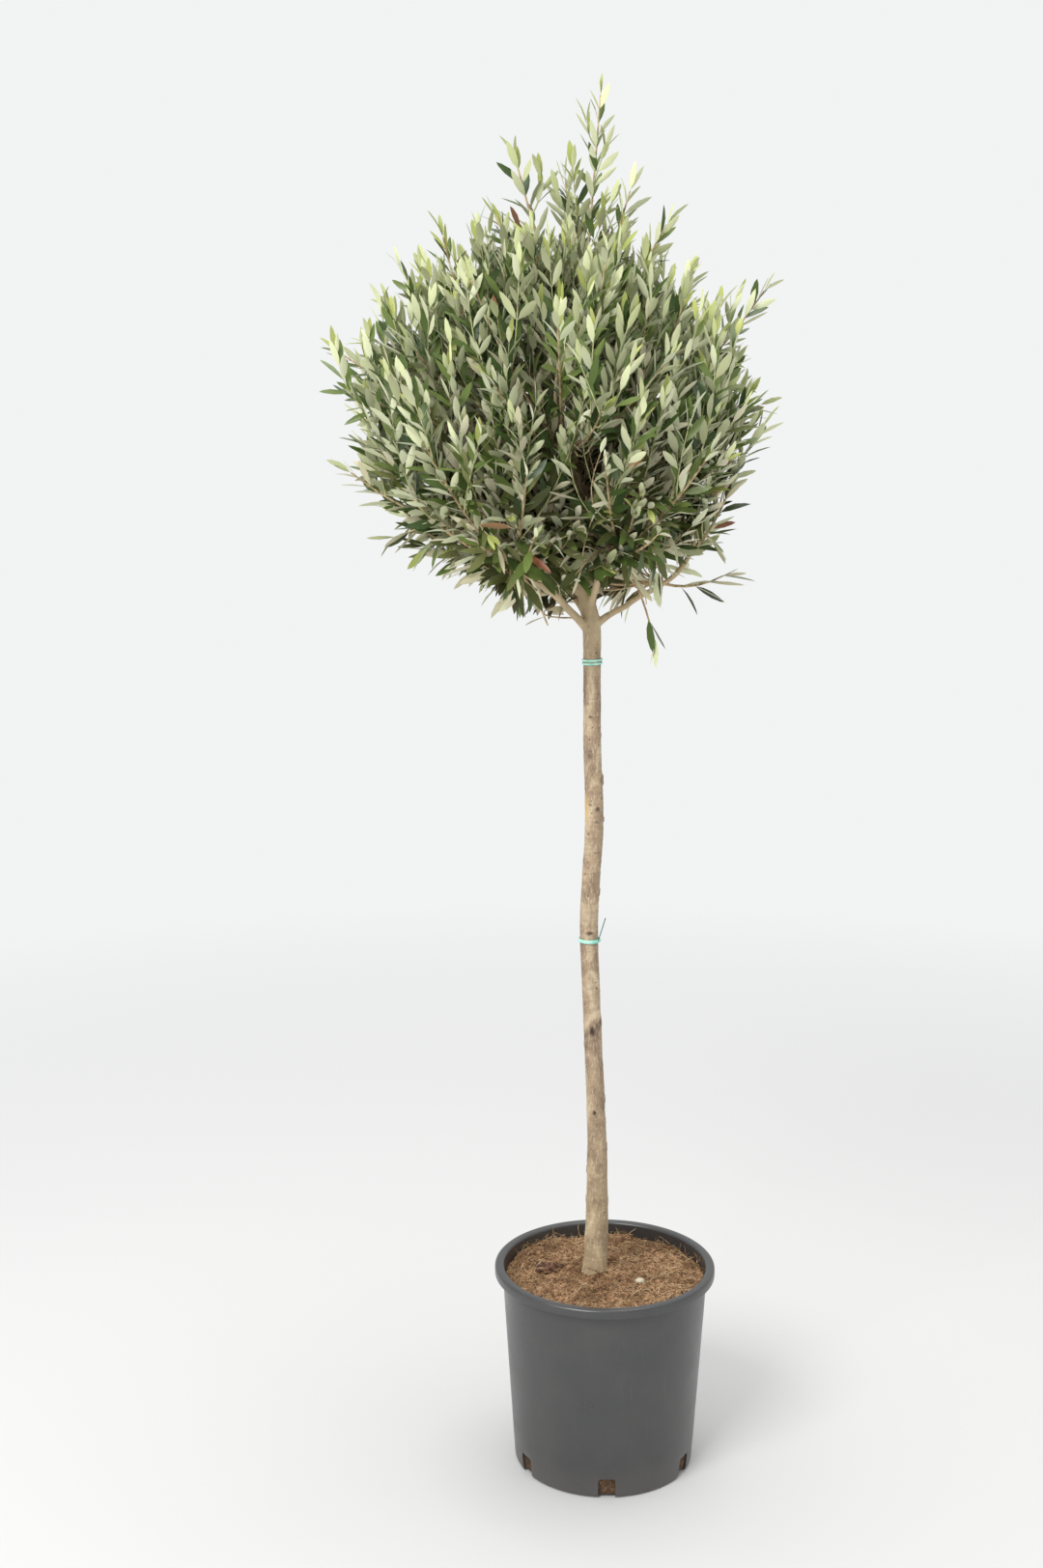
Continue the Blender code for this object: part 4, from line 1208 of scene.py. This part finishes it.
def shoot_tips(chance):
    """Each fine shoot's tip, the way it ends, the length that it runs so, and its depth."""
    for tip, depth in foliage_tips(SHOOT_LAYERS, chance, LOWEST_SHOOT, HIGHEST_SHOOT):
        high = min(max((tip.z - TOP_HEIGHT) / (HIGHEST_SHOOT - TOP_HEIGHT), 0), 1)
        leaf = TIP_LEAF + (TOP_LEAF - TIP_LEAF) * high
        share = min(reach(tip.z + leaf) / reach(tip.z), 1)
        low = min(max((CROWN_WAIST - tip.z) / (CROWN_WAIST - LOW_HEIGHT), 0), 1)
        share *= (1 - (1 - LOW_SHARE) * low) * (1 + LOBE_DEPTH * noise.noise(tip / LOBE_WIDTH))
        if low * noise.noise(tip / HOLLOW_WIDTH) > HOLLOW_FROM and depth > WOODY_DEPTH:
            continue
        tip = Vector((CROWN_X + (tip.x - CROWN_X) * share, tip.y * share * DEPTH_SHARE, tip.z))
        tip += Vector([chance.gauss(0, SHOOT_JITTER) for _ in range(3)])
        yield tip, heading_at(tip, chance), chance.uniform(*SHOOT_RUN), depth
    for tip in map(Vector, LONG_SHOOTS):
        heading = (tip - Vector(HEARTS[home_of(tip)])).normalized()
        for along, aside in SIDE_SHOOTS:
            out = Vector([chance.gauss(0, 1) for _ in range(3)]).cross(heading).normalized()
            side_tip = tip - heading * along + out * aside
            yield side_tip, (heading + out * 0.3).normalized(), aside * 2, 1.0
    for _ in range(INNER_SHOOTS):
        out = Vector([chance.gauss(0, 1) for _ in range(3)]).normalized() * chance.uniform(0.25, 1)
        tip = Vector([mid + far * step for mid, far, step in zip(INNER_MIDDLE, INNER_REACH, out)])
        yield tip, heading_at(tip, chance), chance.uniform(*SHOOT_RUN) * 0.8, INNER_DEPTH


def grow_shoots(chance):
    """A fine shoot to each tip from the nearest twig, stem or limb, with its depth."""
    carriers = [*stems.values(), *(route for group in twigs.values() for route in group)]
    inner_carriers = [*carriers, *(route for name, route in limbs.items() if name != "trunk")]
    shoots = []
    for tip, heading, run, depth in shoot_tips(chance):
        foot = tip - heading * run
        parents = inner_carriers if depth == INNER_DEPTH else carriers
        parent = min(parents, key=lambda route: from_route(foot, route)[0])
        gap, arc = from_route(foot, parent)
        whole = length_of(parent)
        arc = min(max(arc - gap, FIRST_BRANCH * whole), LAST_BRANCH * whole)
        start = at_arc(parent, arc)[0].xyz
        route = arched(start, foot, tip - heading * TIP_SHORTER, SHOOT_RADIUS, SHOOT_RINGS)
        if length_of(route) < LONGEST_SHOOT:
            shoots.append((route, depth))
    return shoots


shoots = grow_shoots(random.Random(SEED + 1))
print(len(shoots), "fine shoots")


# %% Twig materials and tubes
def twig_material(name, *stops):
    tree, shader = new_material(name, "9A8A6A", 0.7, 1.5)
    tone = pattern(tree, (6 * MM, 6 * MM, 14 * MM), detail=3)
    tree.links.new(ramp(tree, tone, *stops), shader.inputs["Base Color"])
    raise_surface(tree, shader, pattern(tree, (2 * MM, 2 * MM, 5 * MM), detail=2), 0.2 * MM)


twig_material("brown twig bark", (0.35, "8F7857"), (0.5, "B79F78"), (0.68, "D2BE98"))
twig_material("green shoot skin", (0.35, "989A64"), (0.5, "B4B57E"), (0.68, "CBCC9C"))
WOODY_HEIGHT = 1.45
masses = [f"crown_{name}" for name in HEARTS]
rows = [route for group in twigs.values() for route in group]
finished(tubes("twigs", rows, 6, "brown twig bark"), "bark", *masses)
woody, green = [], []
for route, depth in shoots:
    (woody if route[-1].z < WOODY_HEIGHT or depth < WOODY_DEPTH else green).append(route)
finished(tubes("shoots_woody", woody, 4, "brown twig bark"), "bark", *masses)
finished(tubes("shoots_green", green, 4, "green shoot skin"), "foliage", *masses)

# %% [markdown]
# ## Leaves
# An olive leaf is a stiff narrow ellipse, about 40 mm by 9 mm, folded a little along its midrib.
# It is dark and waxy above and silvery with tiny scales below. Leaves stand in opposite pairs,
# and each pair is turned a quarter round from the last. The blade here is closed and as thick as
# a real one, and its rim is kept sharp so that the two sides shade apart. A few bent and twisted
# kinds are enough for the eye to find no two alike.

# %% Leaf kinds
# Share of the length, and half width there as a share of the widest.
LEAF_OUTLINE = ((0.08, 0.10), (0.30, 0.80), (0.58, 1.0), (0.86, 0.56))
LEAF_WIDTH_SHARE = 0.238
LEAF_THICK_SHARE = 0.010
# Fold at the midrib, arch along the length, twist in degrees, width.
LEAF_KINDS = (
    (0.16, -0.05, 4, 1.00), (0.26, -0.16, -8, 0.92), (0.12, 0.10, 14, 1.06),
    (0.34, -0.10, 10, 0.84), (0.10, -0.24, -16, 1.10), (0.22, 0.04, 0, 0.96),
)


def leaf_kinds():
    """The kinds of leaf, one unit long along Y with the upper side towards Z."""
    kinds = bpy.data.collections.new("leaf kinds")
    for number, (fold, arch, twist, wide) in enumerate(LEAF_KINDS):
        def place(along, across, side, fold=fold, arch=arch, twist=twist):
            lift = fold * abs(across) + arch * along * along + side * LEAF_THICK_SHARE / 2
            turn = Matrix.Rotation(math.radians(twist) * along, 3, "Y")
            return turn @ Vector((across, along, lift))

        shape = bmesh.new()
        under = shape.faces.layers.int.new("under")
        root = shape.verts.new(place(0, 0, 0))
        tip = shape.verts.new(place(1, 0, 0))
        sides = []
        for along, share in LEAF_OUTLINE:
            half = LEAF_WIDTH_SHARE * wide * share / 2
            places = [(-half, 0), (0, 1), (half, 0), (0, -1)]
            sides.append([shape.verts.new(place(along, *spot)) for spot in places])
        for first, second, lower in ((0, 1, 0), (1, 2, 0), (2, 3, 1), (3, 0, 1)):
            chains = [[row[first] for row in sides], [row[second] for row in sides]]
            faces = [(root, chains[1][0], chains[0][0]), (tip, chains[0][-1], chains[1][-1])]
            for a, b, c, d in zip(chains[0], chains[1], chains[1][1:], chains[0][1:]):
                faces.append((a, b, c, d))
            for corners in faces:
                shape.faces.new(corners)[under] = lower
        bmesh.ops.recalc_face_normals(shape, faces=shape.faces)
        for edge in shape.edges:
            if len({face[under] for face in edge.link_faces}) == 2:
                edge.smooth = False
        for face in shape.faces:
            face.smooth = True
        mesh = bpy.data.meshes.new(f"leaf_{number}")
        shape.to_mesh(mesh)
        shape.free()
        kinds.objects.link(bpy.data.objects.new(mesh.name, mesh))
    return kinds


KINDS_OF_LEAF = leaf_kinds()

# %% [markdown]
# A leaf's colour depends on its age and its light, and it is dealt out by the spray: pale
# yellow-green tips, bright first-year leaves in the sun, olive-brown ones below, and dark ones
# inside. The ages follow the light at each place, so they are partly painted light: the paler
# tints on the lit top and outside are painted light, and the dark ones inside are painted shade.
# Each age has three tints, so that neighbours differ. These are plain colours, because a leaf is
# only a few pixels wide. The wax gives the upper side a low, soft gloss, and the scales make the
# underside matt with a pale sheen.

# %% Leaf materials
# Each age's tints. As the ages follow the light, the paler tints are partly painted light and the
# darker ones inside are partly painted shade.
LEAF_TINTS_BY_AGE_AND_LIGHT = {
    "young": (("9CA45C", "AEB46C", "8C9450"), ("CED4A2", "DADEB0", "BEC490")),
    "bright": (("4A5C2A", "62723A", "344620"), ("CED2A8", "DEE2BC", "B6BA8E")),
    "mature": (("5C6238", "74784A", "444A28"), ("D8D2B0", "E6E0C0", "C0BA98")),
    "old": (("4C4C2E", "605C3A", "383A22"), ("C0B492", "D0C4A4", "A69C7A")),
    "withered": (("8C6238", "7A4A30", "9A7A48"), ("9A7650", "8A5E44", "A88C5E")),
}
LEAF_SHINE = 0.35
for age, sides in LEAF_TINTS_BY_AGE_AND_LIGHT.items():
    for side, gloss, codes in zip(("upper", "under"), (0.32, 0.60), sides):
        for number, code in enumerate(codes):
            tree, shader = new_material(f"{age} leaf {side} side {number}", code, gloss, 1.45)
            shader.inputs["Specular IOR Level"].default_value = LEAF_SHINE
            if side == "under":
                shader.inputs["Sheen Weight"].default_value = 0.25
                shader.inputs["Sheen Roughness"].default_value = 0.5
print(len(LEAF_TINTS_BY_AGE_AND_LIGHT), "ages of leaf")

# %% Where leaves stand
LEAF_SPACING = 0.0160
LEAF_ANGLES = (math.radians(11), math.radians(38))
LEAF_ROLL = math.radians(38)
LEAF_ANGLE_SPREAD = math.radians(9)
LEAF_FULL_PAIR = 3
LEAF_SMALLEST = 0.80
LEAFY_LENGTH = 0.165
LEAF_SIZES = (0.80, 1.12)
LEAF_FACING = (0.3, 1.1)
LEAF_DROOP = 0.8
DROOP_HEIGHT, DROOP_RANGE = 1.42, 0.16
LOW_LARGER = 0.24
BARE_SHARE = 0.16
SHADE_DEPTH, SHADE_HEIGHT = 0.72, 1.45
# What depth adds to a leaf's light, what height adds above and below the middle, and chance.
DEPTH_LIGHT, HIGH_LIGHT, LOW_LIGHT, LIGHT_STRAY = 2.0, 1.8, 1.3, 0.3
WITHERED_SHARE = 0.004
# The least light for young leaves in the first and second pair, and for the next two ages.
YOUNG_LIGHT, BRIGHT_LIGHT, MATURE_LIGHT = (0.55, 0.80), 0.30, -0.45


def age_and_painted_light_of(place, pair, depth, chance):
    """A leaf's age and painted light or shade, from the light at its place and its pair's count
    from the tip.
    """
    rise = place.z - SHADE_HEIGHT
    light = DEPTH_LIGHT * (depth - SHADE_DEPTH) + (HIGH_LIGHT if rise > 0 else LOW_LIGHT) * rise
    light += chance.uniform(-LIGHT_STRAY, LIGHT_STRAY)
    if chance.random() < WITHERED_SHARE:
        return "withered"
    if pair < len(YOUNG_LIGHT) and light > YOUNG_LIGHT[pair]:
        return "young"
    if light > BRIGHT_LIGHT:
        return "bright"
    return "mature" if light > MATURE_LIGHT else "old"


def leaves_of(route, depth, chance):
    """Root, direction, upper side, size and age of each leaf of a shoot, from its tip down."""
    whole = length_of(route)
    spin = chance.uniform(0, math.pi)
    arc, pair = whole, 0
    while arc > max(whole * BARE_SHARE, whole - LEAFY_LENGTH):
        root, ahead = at_arc(route, arc)
        side = ahead.orthogonal().normalized()
        side.rotate(Matrix.Rotation(spin, 3, ahead))
        grown = min(pair / LEAF_FULL_PAIR, 1)
        angle = LEAF_ANGLES[0] + (LEAF_ANGLES[1] - LEAF_ANGLES[0]) * grown
        for way in (side, -side):
            lean = angle + chance.uniform(-1, 1) * LEAF_ANGLE_SPREAD
            out = ahead * math.cos(lean) + way * math.sin(lean)
            age = age_and_painted_light_of(root.xyz, pair, depth, chance)
            low = min(max((DROOP_HEIGHT - root.z) / DROOP_RANGE, 0), 1)
            out -= UP * LEAF_DROOP * low * chance.random()
            out.normalize()
            upper = ahead + UP * chance.uniform(*LEAF_FACING)
            upper = (upper - out * upper.dot(out)).normalized()
            upper.rotate(Matrix.Rotation(chance.gauss(0, LEAF_ROLL), 3, out))
            size = (LEAF_SMALLEST + (1 - LEAF_SMALLEST) * grown) * chance.uniform(*LEAF_SIZES)
            size *= 1 + LOW_LARGER * low
            yield root.xyz, out, upper, size * LEAF_LENGTH, age
        arc -= LEAF_SPACING * (1 + LOW_LARGER * low) * chance.uniform(0.85, 1.15)
        spin += math.pi / 2
        pair += 1


def clear_of_limbs(root, out, length):
    """Whether a leaf keeps off the trunk, the leader and the boughs."""
    spots = [root + out * length * share for share in (0.4, 0.7, 1.0)]
    return all(from_route(spot, route)[0] > LIMB_GAP for route in limbs.values() for spot in spots)


def in_reach(spot):
    """Whether a place lies in the solids' box, or past it by no more than a leaf's reach."""
    return all(low - EDGE < part < high + EDGE
               for low, part, high in zip(cad_box[0], spot, cad_box[1]))


def in_opening(spot):
    """Whether a place lies before the bare wood that shows through the front of the crown."""
    return spot.y < OPENING_BACK and any(
        math.hypot((spot.x - x) / wide, (spot.z - z) / tall) < 1 for x, z, wide, tall in OPENINGS)


def deal_leaves():
    """Every leaf of the crown by age, as (root, direction, upper side, size, kind, tint)."""
    dealt = {age: [] for age in LEAF_TINTS_BY_AGE_AND_LIGHT}
    carriers = [(route, 1.0) for group in twigs.values() for route in group] + shoots
    for number, (route, depth) in enumerate(carriers):
        chance = random.Random(SEED * 1000 + number)
        tint = chance.randrange(3)
        for root, out, upper, size, age in leaves_of(route, depth, chance):
            kind = chance.randrange(len(LEAF_KINDS))
            shade = tint if chance.random() < 0.6 else chance.randrange(3)
            if not in_reach(root + out * size) or in_opening(root + out * size / 2):
                continue
            if clear_of_limbs(root, out, size):
                dealt[age].append((root, out, upper, size, kind, shade))
    return dealt


dealt = deal_leaves()
print({age: len(rows) for age, rows in dealt.items()}, sum(map(len, dealt.values())), "leaves")


# %% [markdown]
# The leaves themselves are instances on points. Each point carries where its leaf looks, its
# upper side, its size, its kind and its tint as attributes. Two axes give the rotation, and the
# tint and the side choose the material once the instances have been made real.

# %% The leaf tree
def leaf_tree(age):
    tree, inputs = new_nodes(f"{age} leaves on shoots", Kinds="Collection")

    def named(name, kind):
        made = add(tree, "GeometryNodeInputNamedAttribute", {"Name": name}, data_type=kind)
        return [s for s in made.outputs if s.enabled][0]

    kinds = add(tree, "GeometryNodeCollectionInfo",
                {"Collection": inputs["Kinds"], "Separate Children": True, "Reset Children": True})
    turn = add(tree, "FunctionNodeAxesToRotation",
               {0: named("out", "FLOAT_VECTOR"), 1: named("upper", "FLOAT_VECTOR")},
               primary_axis="Y", secondary_axis="Z")
    placed = add(tree, "GeometryNodeInstanceOnPoints",
                 {"Points": inputs["Geometry"], "Instance": kinds.outputs[0],
                  "Pick Instance": True, "Instance Index": named("kind", "INT"),
                  "Rotation": turn.outputs[0], "Scale": named("size", "FLOAT")})
    shape = add(tree, "GeometryNodeRealizeInstances", {"Geometry": placed.outputs[0]}).outputs[0]
    for tint in range(3):
        chosen = add(tree, "FunctionNodeCompare", {2: named("tint", "INT"), 3: tint},
                     data_type="INT", operation="EQUAL").outputs[0]
        for below, side in enumerate(("upper", "under")):
            facing = add(tree, "FunctionNodeCompare", {2: named("under", "INT"), 3: below},
                         data_type="INT", operation="EQUAL").outputs[0]
            both = add(tree, "FunctionNodeBooleanMath", {0: chosen, 1: facing}, operation="AND")
            finish = bpy.data.materials[f"{age} leaf {side} side {tint}"]
            inputs = {"Geometry": shape, "Selection": both.outputs[0], "Material": finish}
            shape = add(tree, "GeometryNodeSetMaterial", inputs).outputs[0]
    give_back(tree, shape)
    return tree


def leafy(age, rows):
    """One piece with every leaf of an age."""
    name = f"leaves_{age}"
    mesh = bpy.data.meshes.new(name)
    mesh.from_pydata([row[0] for row in rows], [], [])
    for at, (label, kind) in enumerate((("out", "FLOAT_VECTOR"), ("upper", "FLOAT_VECTOR"),
                                        ("size", "FLOAT"), ("kind", "INT"), ("tint", "INT"))):
        layer = mesh.attributes.new(label, kind, "POINT")
        if kind == "FLOAT_VECTOR":
            layer.data.foreach_set("vector", [x for row in rows for x in row[at + 1]])
        else:
            layer.data.foreach_set("value", [row[at + 1] for row in rows])
    return run_nodes(new_object(name, mesh), leaf_tree(age), Kinds=KINDS_OF_LEAF)


for age, rows in dealt.items():
    finished(leafy(age, rows), "foliage", *masses)
